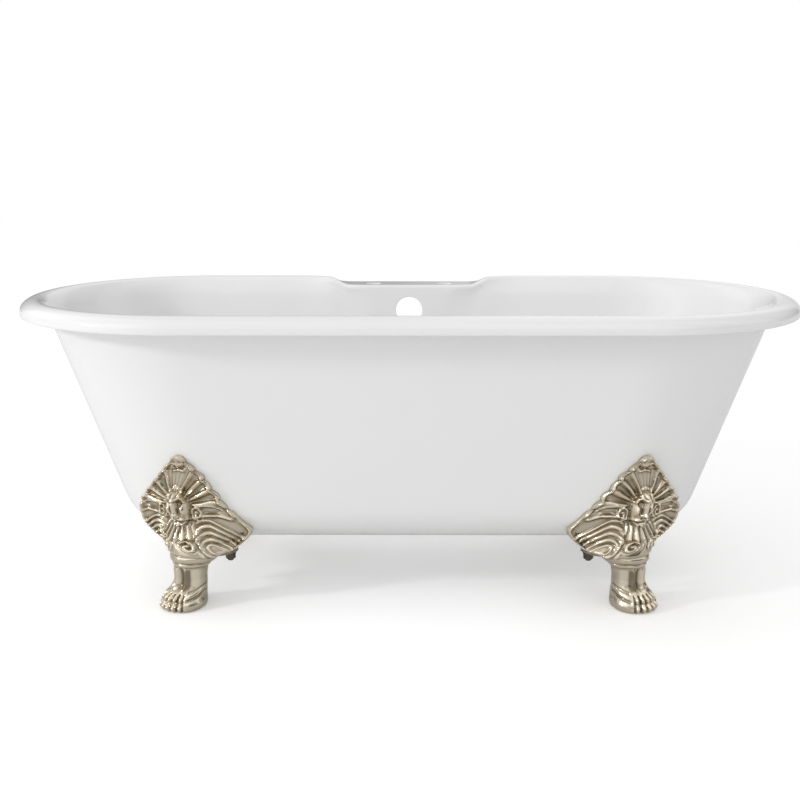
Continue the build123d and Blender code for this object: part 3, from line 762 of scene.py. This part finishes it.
# %% Lion's mask
def mask_carving(x, z):
    """Head, brows, eyes, nose, muzzle, moustache, beard and its curls."""
    dome = 21.0 * np.clip(1 - (x / 27.0) ** 2 - ((z - 222.0) / 41.0) ** 2, 0.0, 1.0) ** 0.5
    tuft = 6.0 * stroke(x, z, [(0.0, 268.0), (0.0, 256.0)], 5.0) + 5.0 * stroke(x, z, [(7.0, 266.0), (13.0, 255.0)], 3.6)
    brow = 6.5 * stroke(x, z, [(4.0, 245.0), (11.0, 250.0), (18.0, 248.0), (22.0, 240.0)], 3.4)
    socket = -10.0 * knoll(x, z, 11.0, 236.0, 5.6, 5.6) + 4.0 * knoll(x, z, 11.0, 234.5, 2.6, 2.2)
    bridge = 9.5 * stroke(x, z, [(0.0, 248.0), (0.0, 212.0)], 5.0)
    tip = 7.0 * knoll(x, z, 0.0, 209.5, 9.0, 4.6) - 5.5 * knoll(x, z, 4.6, 204.5, 2.6, 2.2)
    cheek = 6.0 * knoll(x, z, 17.0, 219.0, 5.0, 9.0) - 6.0 * knoll(x, z, 9.0, 221.0, 3.0, 8.0)
    muzzle = 8.0 * knoll(x, z, 7.5, 200.0, 6.5, 5.0)
    mouth = -7.0 * stroke(x, z, [(0.0, 194.5), (8.0, 192.5), (15.0, 194.5)], 2.6)
    beads = np.zeros_like(x)
    for step in range(4):
        beads = beads + 7.0 * knoll(x, z, 15.0 + 8.0 * step, 198.0 + 1.2 * step, 4.0, 4.4)
    locks = np.abs(np.cos(np.pi * x / (9.0 + 4.0 * smooth_step((185.0 - z) / 40.0)))) ** 1.3
    beard = smooth_step((190.0 - z) / 8.0) * smooth_step((z - 138.0) / 20.0) * smooth_step((34.0 - x) / 6.0)
    curls = 9.0 * spiral(x, z, 22.0, 143.0, 9.0, 15.0) * smooth_step((z - 122.0) / 8.0)
    chin = 4.0 * knoll(x, z, 0.0, 141.0, 7.0, 9.0)
    face = dome + tuft + brow + socket + bridge + tip + cheek + muzzle + mouth + beads
    return face + beard * (7.0 * locks - 2.0 + 5.0 * bell(x, 20.0)) + curls + chin


def knob_carving(x, z):
    """The plain knob at the top, hollowed by a small curl under it."""
    ball = 9.0 * np.clip(1 - (x / 15.0) ** 2 - ((z - 331.0) / 15.0) ** 2, 0.0, 1.0) ** 0.5
    return ball - 4.5 * knoll(x, z, 7.0, 317.0, 5.0, 3.0) + 4.5 * stroke(x, z, [(0.0, 312.0), (10.0, 309.0)], 3.0)


# %% [markdown]
# ## One foot as one skin
# A whole foot is a stack of closed rings, from the sole through toes, ankle and
# collar to the plate. Every ring has as many points: some along the front, some
# round the edge, some along the back against the bath. Low rings are circles
# round the ankle, high ones follow the wall, and between them we mix the two.

# %% Rings of the plate
FRONT_COLUMNS, EDGE_COLUMNS, BACK_COLUMNS, PLATE_RINGS = 150, 4, 60, 190
SEAT_GAP, PLATE_BODY, EDGE_BODY, COLLAR_FRONT, ANKLE_SWAY = 0.0006, 0.0055, 0.0085, 0.0405, -0.0035
MASK_SHIFT = 0.0135
front_share = np.concatenate([
    -np.ones(EDGE_COLUMNS), np.linspace(-1.0, 1.0, FRONT_COLUMNS + 1), np.ones(EDGE_COLUMNS),
])
drop = np.cos(np.linspace(0.0, np.pi / 2, EDGE_COLUMNS + 1)[1:])
edge_share = np.concatenate([drop[::-1], np.ones(FRONT_COLUMNS + 1), drop])
back_share = np.linspace(1.0, -1.0, BACK_COLUMNS + 2)[1:-1]
COLLAR_TURN = np.radians(105.0)
leg_angle = np.concatenate([
    np.linspace(-COLLAR_TURN, COLLAR_TURN, len(front_share)),
    np.linspace(COLLAR_TURN, 2 * np.pi - COLLAR_TURN, BACK_COLUMNS + 2)[1:-1],
])


def hang(height):
    """The height whose wall a low part of the plate keeps to, so that it hangs
    down over the bath's corner: half the drop below 0.2."""
    return np.where(height < 0.200, 0.200 - 0.5 * (0.200 - height), height)


def middle_line(height, lean):
    """How far the plate's middle has leaned along the wall, from the mask up."""
    return -lean * np.clip((height - MASK_HEIGHT) / (PLATE_TOP - MASK_HEIGHT), 0.0, 1.0)


def carving_middle(height):
    """The mask and its shell sit a little outside the plate's middle."""
    return MASK_SHIFT * smooth_step((height - 0.118) / 0.030) * (1 - smooth_step((height - 0.262) / 0.060))


def plate_rings(lean):
    """Front of the carved plate, its thick edge and its back, ring by ring."""
    height = np.linspace(PLATE_LOW, PLATE_TOP, PLATE_RINGS)[:, None]
    inner, outer = plate_half(height, OUTLINE_INNER), plate_half(height, OUTLINE_OUTER)
    half = np.where(front_share < 0, inner, outer)
    side = front_share * half
    x, z = np.abs(side - carving_middle(height)) * 1000, height * 1000 + 0 * side
    phase = scallop_phase(height)
    reach = x + (half - np.abs(side)) * 1000
    carving = (shell_carving(x, z, reach, phase) + scroll_carving(x, z) + wing_carving(x, z, reach)
               + mask_carving(x, z) + knob_carving(x, z)) / 1000
    carving = np.maximum(carving, -0.004)
    body = (EDGE_BODY + (PLATE_BODY - EDGE_BODY) * smooth_step((half - np.abs(side)) / 0.02)) + carving
    body = body * smooth_step((PLATE_TOP - height) / 0.006 + 0.25)
    lift = SEAT_GAP + body * edge_share
    along = side + middle_line(height, lean)
    on_wall = wall_place(along, hang(height), lift)
    on_wall[..., 2] = height
    centre = 1 - smooth_step((height - PLATE_LOW) / 0.085)
    rim = 1 - smooth_step((height - PLATE_LOW) / 0.030)
    mix = (rim + (centre - rim) * np.cos(np.pi / 2 * front_share) ** 2)[..., None]
    angle = leg_angle[: len(front_share)]
    wide = np.maximum(half - 0.006, 0.040) + carving * edge_share
    on_leg = leg_place(wide * np.sin(angle) + ANKLE_SWAY, (COLLAR_FRONT + carving * edge_share) * np.cos(angle), height)
    front = on_wall * (1 - mix) + on_leg * mix
    half_back = np.where(back_share < 0, inner, outer)
    behind = wall_place(back_share * half_back + middle_line(height, lean), height, SEAT_GAP + 0 * back_share)
    saddle = 0.040 + 0.030 * smooth_step((height - PLATE_LOW) / 0.035)
    turn = leg_angle[len(front_share):]
    round_leg = leg_place(np.maximum(half_back - 0.006, 0.040) * np.sin(turn) + ANKLE_SWAY, saddle * np.cos(turn), height)
    depth = (behind[..., :2] - ANKLE) @ OUT
    low = (1 - smooth_step((depth + saddle + 0.012) / 0.012))[..., None]
    low = np.maximum(low, rim[..., None])
    back = behind * (1 - low) + round_leg * low
    return np.concatenate([front, back], axis=1), np.concatenate([carving, 0 * behind[..., 0]], axis=1)


print("points per ring:", len(leg_angle))

# %% [markdown]
# ## Collar, ankle and paw
# Below the plate each ring is a circle round the ankle, pushed out of round by
# tendons and toes. A ring's height may change along it, so that the toes' tops
# get as many points as their fronts.

# %% Collar, ankle and paw
PAW_FRONT = np.array([(55.0, 0.0), (62.0, 1.5), (66.5, 7.0), (65.5, 15.0), (61.0, 25.0), (54.0, 35.0), (44.5, 45.0),
                      (38.0, 56.0), (35.4, 68.0)]) / 1000
PAW_SIDE = np.array([(36.0, 0.0), (41.0, 1.5), (44.0, 7.0), (45.0, 15.0), (44.0, 25.0), (41.5, 35.0), (38.0, 45.0),
                     (35.3, 56.0), (34.2, 68.0)]) / 1000
PAW_BACK = np.array([(31.0, 0.0), (35.0, 1.5), (38.0, 7.0), (39.0, 15.0), (39.0, 25.0), (38.0, 35.0), (36.0, 45.0),
                     (34.3, 56.0), (33.4, 68.0)]) / 1000
TOES, TOE_MIDDLE, TOE_STEP = 5, np.radians(10.0), np.radians(13.0)
PAW_RINGS, ANKLE_RINGS, COLLAR_RINGS = 70, 24, 44
ANKLE_TOP, RING_AT, COLLAR_AT = 0.093, 0.0995, 0.1135
SKIRT = 0.0225


def along_curve(path, count):
    """Evenly numbered points on a smooth curve through the path's points."""
    place = np.linspace(0.0, len(path) - 1.0, count)
    first = np.minimum(place.astype(int), len(path) - 2)
    t = (place - first)[:, None]
    pull = np.gradient(path, axis=0)
    return ((2 * t**3 - 3 * t**2 + 1) * path[first] + (t**3 - 2 * t**2 + t) * pull[first]
            + (3 * t**2 - 2 * t**3) * path[first + 1] + (t**3 - t**2) * pull[first + 1])


def paw_rings():
    """Radius and height at each ring and angle: pad, toes, claws and heel."""
    front, side, back = (along_curve(path, PAW_RINGS)[:, None, :] for path in (PAW_FRONT, PAW_SIDE, PAW_BACK))
    angle = leg_angle
    ahead = np.clip(np.cos(angle - TOE_MIDDLE * 0.5), 0.0, 1.0)[None, :, None] ** 1.3
    behind = np.clip(-np.cos(angle), 0.0, 1.0)[None, :, None] ** 1.3
    shape = side + ahead * (front - side) + behind * (back - side)
    radius, height = shape[..., 0], shape[..., 1]
    place = (angle - TOE_MIDDLE) / TOE_STEP
    on_toes = smooth_step((TOES / 2 + 0.15 - np.abs(place)) / 0.35)
    between = np.abs(np.cos(np.pi * (place + TOES / 2))) ** 4
    level = height * 1000
    knuckle = bell(level - 30.0, 6.0) + 0.8 * bell(level - 11.0, 5.5)
    bend = bell(level - 20.5, 3.0)
    fade = smooth_step((41.0 - level) / 8.0)
    toe = on_toes * fade * (3.6 * knuckle * (1 - between) - 8.5 * between - 2.6 * bend)
    claw_there = on_toes * smooth_step((9.0 - level) / 5.0)
    claw = claw_there * (4.0 * np.clip(1 - np.abs(np.mod(place + TOES / 2, 1.0) - 0.5) * 3.6, 0.0, 1.0) - 3.0)
    beside = smooth_step((-place - 2.7) / 0.6) * smooth_step((np.pi * 0.75 + angle) / 0.4)
    fold = -4.0 * beside * bell(level - 31.0 + 13.0 * np.sin(angle + 1.0), 3.0)
    crease = -2.6 * beside * bell(level - 45.0 + 12.0 * np.sin(angle + 0.9), 3.0)
    side_pad = 3.5 * bell(level - 15.0, 9.0) * bell(angle + 1.25, 0.5)
    return radius + (toe + claw + fold + crease + side_pad) / 1000, height


def tendon_relief(height):
    """Three cords and the deep grooves between them up the front of the ankle."""
    turn = np.degrees(leg_angle)
    strength = smooth_step((height - 0.040) / 0.014) * smooth_step((0.096 - height) / 0.010)
    cord = 3.0 * bell(turn + 13.0, 6.5) + 3.6 * bell(turn - 25.0, 6.5) + 3.0 * bell(turn - 48.0, 6.0)
    groove = 5.5 * bell(turn - 6.0, 7.5) + 3.0 * bell(turn - 37.0, 4.0) + 3.0 * bell(turn - 60.0, 5.0)
    heel = 1.5 * bell(np.abs(turn - 180.0) - 31.0, 13.0)
    return strength * (cord - groove - heel) / 1000


def skirt(height):
    """How much the collar's inner side flares under the wing, 0 to 1."""
    return np.clip((height - 0.090) / (PLATE_LOW - 0.090), 0.0, 1.0) ** 1.3


def leg_rings():
    """Radius and height from the ankle through ring and collar to the plate."""
    low = np.linspace(PAW_FRONT[-1, 1], ANKLE_TOP, ANKLE_RINGS + 1)[1:]
    high = np.linspace(ANKLE_TOP, PLATE_LOW, COLLAR_RINGS + 1)[1:-1]
    height = np.concatenate([low, high])[:, None] + 0 * leg_angle
    ahead = np.clip(np.cos(leg_angle), 0.0, 1.0) ** 1.3
    behind = np.clip(-np.cos(leg_angle), 0.0, 1.0) ** 1.3
    start = 0.0342 + 0.0012 * ahead - 0.0008 * behind
    rise = smooth_step((height - PAW_FRONT[-1, 1]) / (ANKLE_TOP - PAW_FRONT[-1, 1]))
    radius = start + (0.0365 - start) * rise
    ring = 0.0036 * np.clip(1 - ((height - RING_AT) / 0.0042) ** 2, 0.0, 1.0) ** 0.5
    collar = 0.0088 * np.clip(1 - ((height - COLLAR_AT) / 0.0098) ** 2, 0.0, 1.0) ** 0.5
    return radius + np.maximum(ring, collar), height


def round_leg_points(radius, height, paw_sway=0.0):
    """Ring points; the paw sways outwards and the ankle towards the middle."""
    sway = np.where(radius > 0.017, paw_sway + (ANKLE_SWAY - paw_sway) * smooth_step((height - 0.020) / 0.045), 0.0)
    across, ahead = np.sin(leg_angle), np.cos(leg_angle)
    reach = radius + SKIRT * skirt(height) * smooth_step(-across / 0.35)
    return leg_place(reach * across + sway, radius * ahead, height + 0 * leg_angle)


# %% [markdown]
# ## Joining the foot
# The sole gets its levelling pocket and bore, the rings are stacked, and the top
# and the bore's end close in a point.


# %% Foot mesh
def foot_points(lean, paw_sway):
    """All rings of the front right foot, from the bore's end to the knob."""
    paw_radius, paw_height = paw_rings()
    leg_radius, leg_height = leg_rings()
    radius, height = np.vstack([paw_radius, leg_radius]), np.vstack([paw_height, leg_height])
    cord = tendon_relief(height)
    radius = radius + cord
    floor_ring = radius[0]
    holes = [(0.0, 0.0615), (0.0063, 0.0610), (0.0063, 0.0093), (0.0160, 0.0093), (0.0160, 0.0005), (0.0165, 0.0)]
    lower = [round_leg_points(r + 0 * leg_angle, h) for r, h in holes]
    lower += [round_leg_points(0.0165 + (floor_ring - 0.0165) * share, 0.0, paw_sway) for share in (0.35, 0.7)]
    plate, carving = plate_rings(lean)
    upper = plate.mean(axis=1)[-1] + 0 * plate[-1]
    points = np.concatenate([np.array(lower), round_leg_points(radius, height, paw_sway), plate, upper[None]])
    print("rings of a foot:", len(points))
    return points


def painted_shade_and_highlights(points):
    """Painted shade and highlights, 0 to 1: 0 in hollows, 1 on high places, from
    how far a point stands out of its neighbours' average, along the outward
    direction, scaled. On the ankle come two painted highlights and a painted
    dark reflection beside its front tendon."""
    rough = points.copy()
    for _ in range(14):
        rough = (np.roll(rough, 1, 1) + np.roll(rough, -1, 1) + 2 * rough) / 4
        rough[1:-1] = (rough[:-2] + rough[2:] + 2 * rough[1:-1]) / 4
    across = np.roll(points, -1, 1) - np.roll(points, 1, 1)
    upward = np.gradient(points, axis=0)
    normal = np.cross(across, upward)
    normal /= np.maximum(np.linalg.norm(normal, axis=-1, keepdims=True), 1e-12)
    standing = ((points - rough) * normal).sum(axis=-1)
    turn, height = np.degrees(leg_angle), points[..., 2]
    on_ankle = smooth_step((height - 0.040) / 0.012) * smooth_step((0.094 - height) / 0.008)
    painted_dark_reflection = smooth_step((23.0 - np.abs(turn + 10.0)) / 8.0)
    # Painted light on the ankle: two painted highlights and a painted dark reflection band beside the front tendon.
    painted_ankle_reflections = on_ankle * (0.6 * bell(turn + 48.0, 14.0) + 0.6 * bell(turn - 27.0, 9.0) - 0.9 * painted_dark_reflection)
    # Painted shade: points below their neighbours get darker, points above them lighter.
    return np.clip(0.62 + standing / 0.0022 + painted_ankle_reflections, 0.0, 1.0)


def flange_points():
    """The flat flange under the bath that the two studs pass through: its
    rounded outline, carried over top and bottom to the middle."""
    corner = np.array([(0.077, -0.080), (0.077, -0.046), (0.034, 0.0), (-0.034, 0.0), (-0.077, -0.046),
                       (-0.077, -0.080)])
    turn = np.linspace(0.0, 2 * np.pi, 120, endpoint=False)
    ahead = np.stack([np.sin(turn), np.cos(turn)], axis=1)
    middle = np.array([0.0, -0.045])
    edge = np.roll(corner, -1, axis=0) - corner
    face = np.stack([edge[:, 1], -edge[:, 0]], axis=1)
    face = face / np.linalg.norm(face, axis=1)[:, None]
    away = ((corner - middle) * face).sum(axis=1)
    away, face = np.abs(away), face * np.sign(away)[:, None]
    facing = np.maximum(ahead @ face.T, 1e-6)
    reach = ((facing / away) ** 14).sum(axis=1) ** (-1 / 14)
    rows = [(0.0, 0.1082), (0.9, 0.1082), (0.985, 0.1088), (1.0, 0.1105), (1.0, 0.1155), (0.985, 0.1172),
            (0.9, 0.1178), (0.0, 0.1178)]
    plan = [middle + ahead * (reach * share)[:, None] for share, _ in rows]
    return np.array([leg_place(flat[:, 0], flat[:, 1], height) for flat, (_, height) in zip(plan, rows)])


def make_foot(corner, points, shade, flange):
    hand_x, hand_y = CORNERS[corner]
    turn = np.array([hand_x, hand_y, 1.0])
    index = np.arange(points.shape[0] * points.shape[1]).reshape(points.shape[:2])
    more = index.size + np.arange(flange.shape[0] * flange.shape[1]).reshape(flange.shape[:2])
    faces = np.vstack([grid_faces(index, closed=True), grid_faces(more, closed=True)])
    if hand_x * hand_y < 0:
        faces = faces[:, ::-1]
    places = np.vstack([points.reshape(-1, 3), flange.reshape(-1, 3)]) * turn
    # The foot's values are painted shade and highlights. The flange's low 0.1 is its own unpolished patina.
    painted_shade_and_patina = np.concatenate([shade.reshape(-1), np.full(more.size, 0.1)])
    piece = build_mesh(f"lion_paw_foot_{corner}", places, faces, nickel, painted_shade_and_patina)
    weld(piece)
    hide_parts(f"foot_{corner}")
    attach(piece, "bath")


foot_flange = flange_points()
for hand, lean, paw_sway in (("right", 0.010, 0.003), ("left", 0.022, 0.008)):
    foot_grid = foot_points(lean, paw_sway)
    foot_shade = painted_shade_and_highlights(foot_grid)
    for end in ("front", "back"):
        make_foot(f"{end}_{hand}", foot_grid, foot_shade, foot_flange)

# %% [markdown]
# ## The bath itself
# With every helper in place the casting is one call. The lugs under its corners
# take the studs; their tops follow the wall's curve so that they grow out of it.


# %% Bath mesh
def wall_height_over(places):
    """Height of the bath's outer skin straight above points of the plan."""
    level = np.linspace(UNDERSIDE, CORNER_HEIGHT, 400)
    width = half_width(level)
    spine = half_length(level) - width
    x, y = np.abs(places[:, :1]), np.abs(places[:, 1:2])
    outside = np.hypot(np.maximum(x - spine, 0.0), y) - width
    return level[np.argmax(outside <= 0.0, axis=1)]


def lug_points(side):
    """A lug with its stud's blind hole, from the hole's end to the wall."""
    turn = np.linspace(0.0, 2 * np.pi, 40, endpoint=False)
    rows = [(0.0, 0.134), (0.0062, 0.1338), (0.0062, 0.1185), (0.0068, 0.118), (0.0152, 0.118), (0.016, 0.1188)]
    low = np.array([leg_place(side + r * np.sin(turn), -0.062 + r * np.cos(turn), h) for r, h in rows])
    high = low[-1].copy()
    high[:, 2] = wall_height_over(high) + 0.003
    top = high.mean(axis=0) + 0 * high
    return np.concatenate([low, high[None], top[None]])


def make_bath():
    points, faces = bath_shell()
    blocks, tables = [points], [faces]
    count = len(points)
    for side in (-0.064, 0.064):
        lug = lug_points(side)
        for hand_x, hand_y in CORNERS.values():
            index = count + np.arange(lug.shape[0] * lug.shape[1]).reshape(lug.shape[:2])
            table = grid_faces(index, closed=True)
            tables.append(table if hand_x * hand_y > 0 else table[:, ::-1])
            blocks.append(lug.reshape(-1, 3) * [hand_x, hand_y, 1.0])
            count += index.size
    piece = build_mesh("enamelled_bath", np.vstack(blocks), np.vstack(tables), enamel)
    weld(piece)
    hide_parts("bath_body")
    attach(piece, "bath")


make_bath()

# %% [markdown]
# ## Floor and light
# A white studio: a soft lamp low on the left gives the long shadows to the right,
# and a pale room does the rest. The floor and the room are white where the camera
# looks at them. Mirrors see a room with a darker band, as a photographer sets up
# to draw polished metal.


# %% Floor and backdrop
def floor_material():
    """Matt white; to the camera it is whiter still and shines a little."""
    material, nodes, links, shader = node_material("studio_white")
    shader.inputs["Base Color"].default_value = (0.88, 0.88, 0.88, 1.0)
    shader.inputs["Roughness"].default_value = 0.9
    white = nodes.new("ShaderNodeBsdfDiffuse")
    white.inputs["Color"].default_value = (1.0, 1.0, 1.0, 1.0)
    shine = nodes.new("ShaderNodeEmission")
    shine.inputs["Strength"].default_value = 0.225
    bright = nodes.new("ShaderNodeAddShader")
    path = nodes.new("ShaderNodeLightPath")
    mix = nodes.new("ShaderNodeMixShader")
    links.new(white.outputs["BSDF"], bright.inputs[0])
    links.new(shine.outputs["Emission"], bright.inputs[1])
    links.new(path.outputs["Is Camera Ray"], mix.inputs["Fac"])
    links.new(shader.outputs["BSDF"], mix.inputs[1])
    links.new(bright.outputs["Shader"], mix.inputs[2])
    links.new(mix.outputs["Shader"], nodes["Material Output"].inputs["Surface"])
    return material


def make_floor():
    reach = 12.0
    places = np.array([(-reach, -reach, 0.0), (reach, -reach, 0.0), (reach, reach, 0.0), (-reach, reach, 0.0)])
    floor = build_mesh("studio_floor", places, [(0, 1, 2, 3)], floor_material())


make_floor()


# %% Room
def map_range(nodes, links, source, low, high, to_low, to_high):
    """A smooth change from to_low to to_high while the source goes low to high."""
    span = nodes.new("ShaderNodeMapRange")
    span.interpolation_type = "SMOOTHSTEP"
    for name, value in (("From Min", low), ("From Max", high), ("To Min", to_low), ("To Max", to_high)):
        span.inputs[name].default_value = value
    links.new(source, span.inputs["Value"])
    return span.outputs["Result"]


def direction_share(nodes, links, where, towards):
    """How much a view direction points towards a fixed one, -1 to 1."""
    dot = nodes.new("ShaderNodeVectorMath")
    dot.operation = "DOT_PRODUCT"
    dot.inputs[1].default_value = towards
    links.new(where, dot.inputs[0])
    return dot.outputs["Value"]


def join(nodes, links, operation, first, second):
    math = nodes.new("ShaderNodeMath")
    math.operation = operation
    links.new(first, math.inputs[0])
    links.new(second, math.inputs[1])
    return math.outputs["Value"]


def choose(nodes, links, factor, without, with_it):
    """Mixes two values by a light path's flag."""
    mix = nodes.new("ShaderNodeMix")
    links.new(factor, mix.inputs["Factor"])
    links.new(without, mix.inputs["A"])
    links.new(with_it, mix.inputs["B"])
    return mix.outputs["Result"]


WINDOWS = 5.0


def make_room():
    """A pale room, brighter on the left; for mirrors it has a darker band with
    five pale windows, and for the camera it is white."""
    world = bpy.data.worlds.new("studio_room")
    bpy.context.scene.world = world
    world.use_nodes = True
    nodes, links = world.node_tree.nodes, world.node_tree.links
    where = nodes.new("ShaderNodeTexCoord").outputs["Generated"]
    left = direction_share(nodes, links, where, (-0.8, -0.6, 0.0))
    upward = direction_share(nodes, links, where, (0.0, 0.0, 1.0))
    soft = map_range(nodes, links, left, -1.0, 1.0, 0.65, 0.89)
    high = map_range(nodes, links, upward, 0.10, 0.55, 0.30, 1.05)
    lamp_side = map_range(nodes, links, left, 0.45, 0.85, 0.0, 0.45)
    around = nodes.new("ShaderNodeMath")
    around.operation = "ARCTAN2"
    links.new(direction_share(nodes, links, where, (0.0, 1.0, 0.0)), around.inputs[0])
    links.new(direction_share(nodes, links, where, (1.0, 0.0, 0.0)), around.inputs[1])
    turns = nodes.new("ShaderNodeMath")
    turns.operation = "MULTIPLY"
    turns.inputs[1].default_value = WINDOWS
    links.new(around.outputs["Value"], turns.inputs[0])
    wave = nodes.new("ShaderNodeMath")
    wave.operation = "COSINE"
    links.new(turns.outputs["Value"], wave.inputs[0])
    windows = map_range(nodes, links, wave.outputs["Value"], -0.2, 0.6, -0.18, 0.40)
    mirrored = join(nodes, links, "ADD", join(nodes, links, "ADD", high, lamp_side), windows)
    path = nodes.new("ShaderNodeLightPath")
    white = nodes.new("ShaderNodeValue")
    white.outputs["Value"].default_value = 1.0
    for_light = choose(nodes, links, path.outputs["Is Glossy Ray"], soft, mirrored)
    strength = choose(nodes, links, path.outputs["Is Camera Ray"], for_light, white.outputs["Value"])
    links.new(strength, nodes["Background"].inputs["Strength"])
    nodes["Background"].inputs["Color"].default_value = (1.0, 1.0, 1.0, 1.0)


make_room()
print("room:", bpy.context.scene.world.name)


# %% Lamps
def aim(thing, target):
    """Turns a lamp or camera so that its -Z looks at the target."""
    direction = Vector(target) - thing.location
    thing.rotation_euler = direction.to_track_quat("-Z", "Y").to_euler()


def add_lamp(name, place, target, size, power):
    lamp = bpy.data.lights.new(name, "AREA")
    lamp.shape = "RECTANGLE"
    lamp.size, lamp.size_y = size
    lamp.energy = power
    holder = bpy.data.objects.new(name, lamp)
    bpy.context.scene.collection.objects.link(holder)
    holder.location = place
    aim(holder, target)


add_lamp("key_lamp", (-5.2, -2.4, 2.45), (0.0, 0.0, 0.3), (0.6, 0.6), 80.0)
print("lamps:", len(bpy.data.lights))

# %% [markdown]
# ## Camera
# The photograph was taken from about 2.8 m away, at a standing person's chest
# height, looking down a little.

# %% Camera
camera_data = bpy.data.cameras.new("camera")
camera_data.sensor_width = 36.0
camera_data.sensor_fit = "HORIZONTAL"
camera_data.lens = 55.44
camera = bpy.data.objects.new("camera", camera_data)
bpy.context.scene.collection.objects.link(camera)
camera.location = (-0.010, -2.7617, 0.9984)
camera.rotation_euler = (np.pi / 2 - 0.212, 0.0, 0.0041)
bpy.context.scene.camera = camera
bpy.context.scene.view_settings.view_transform = "Standard"
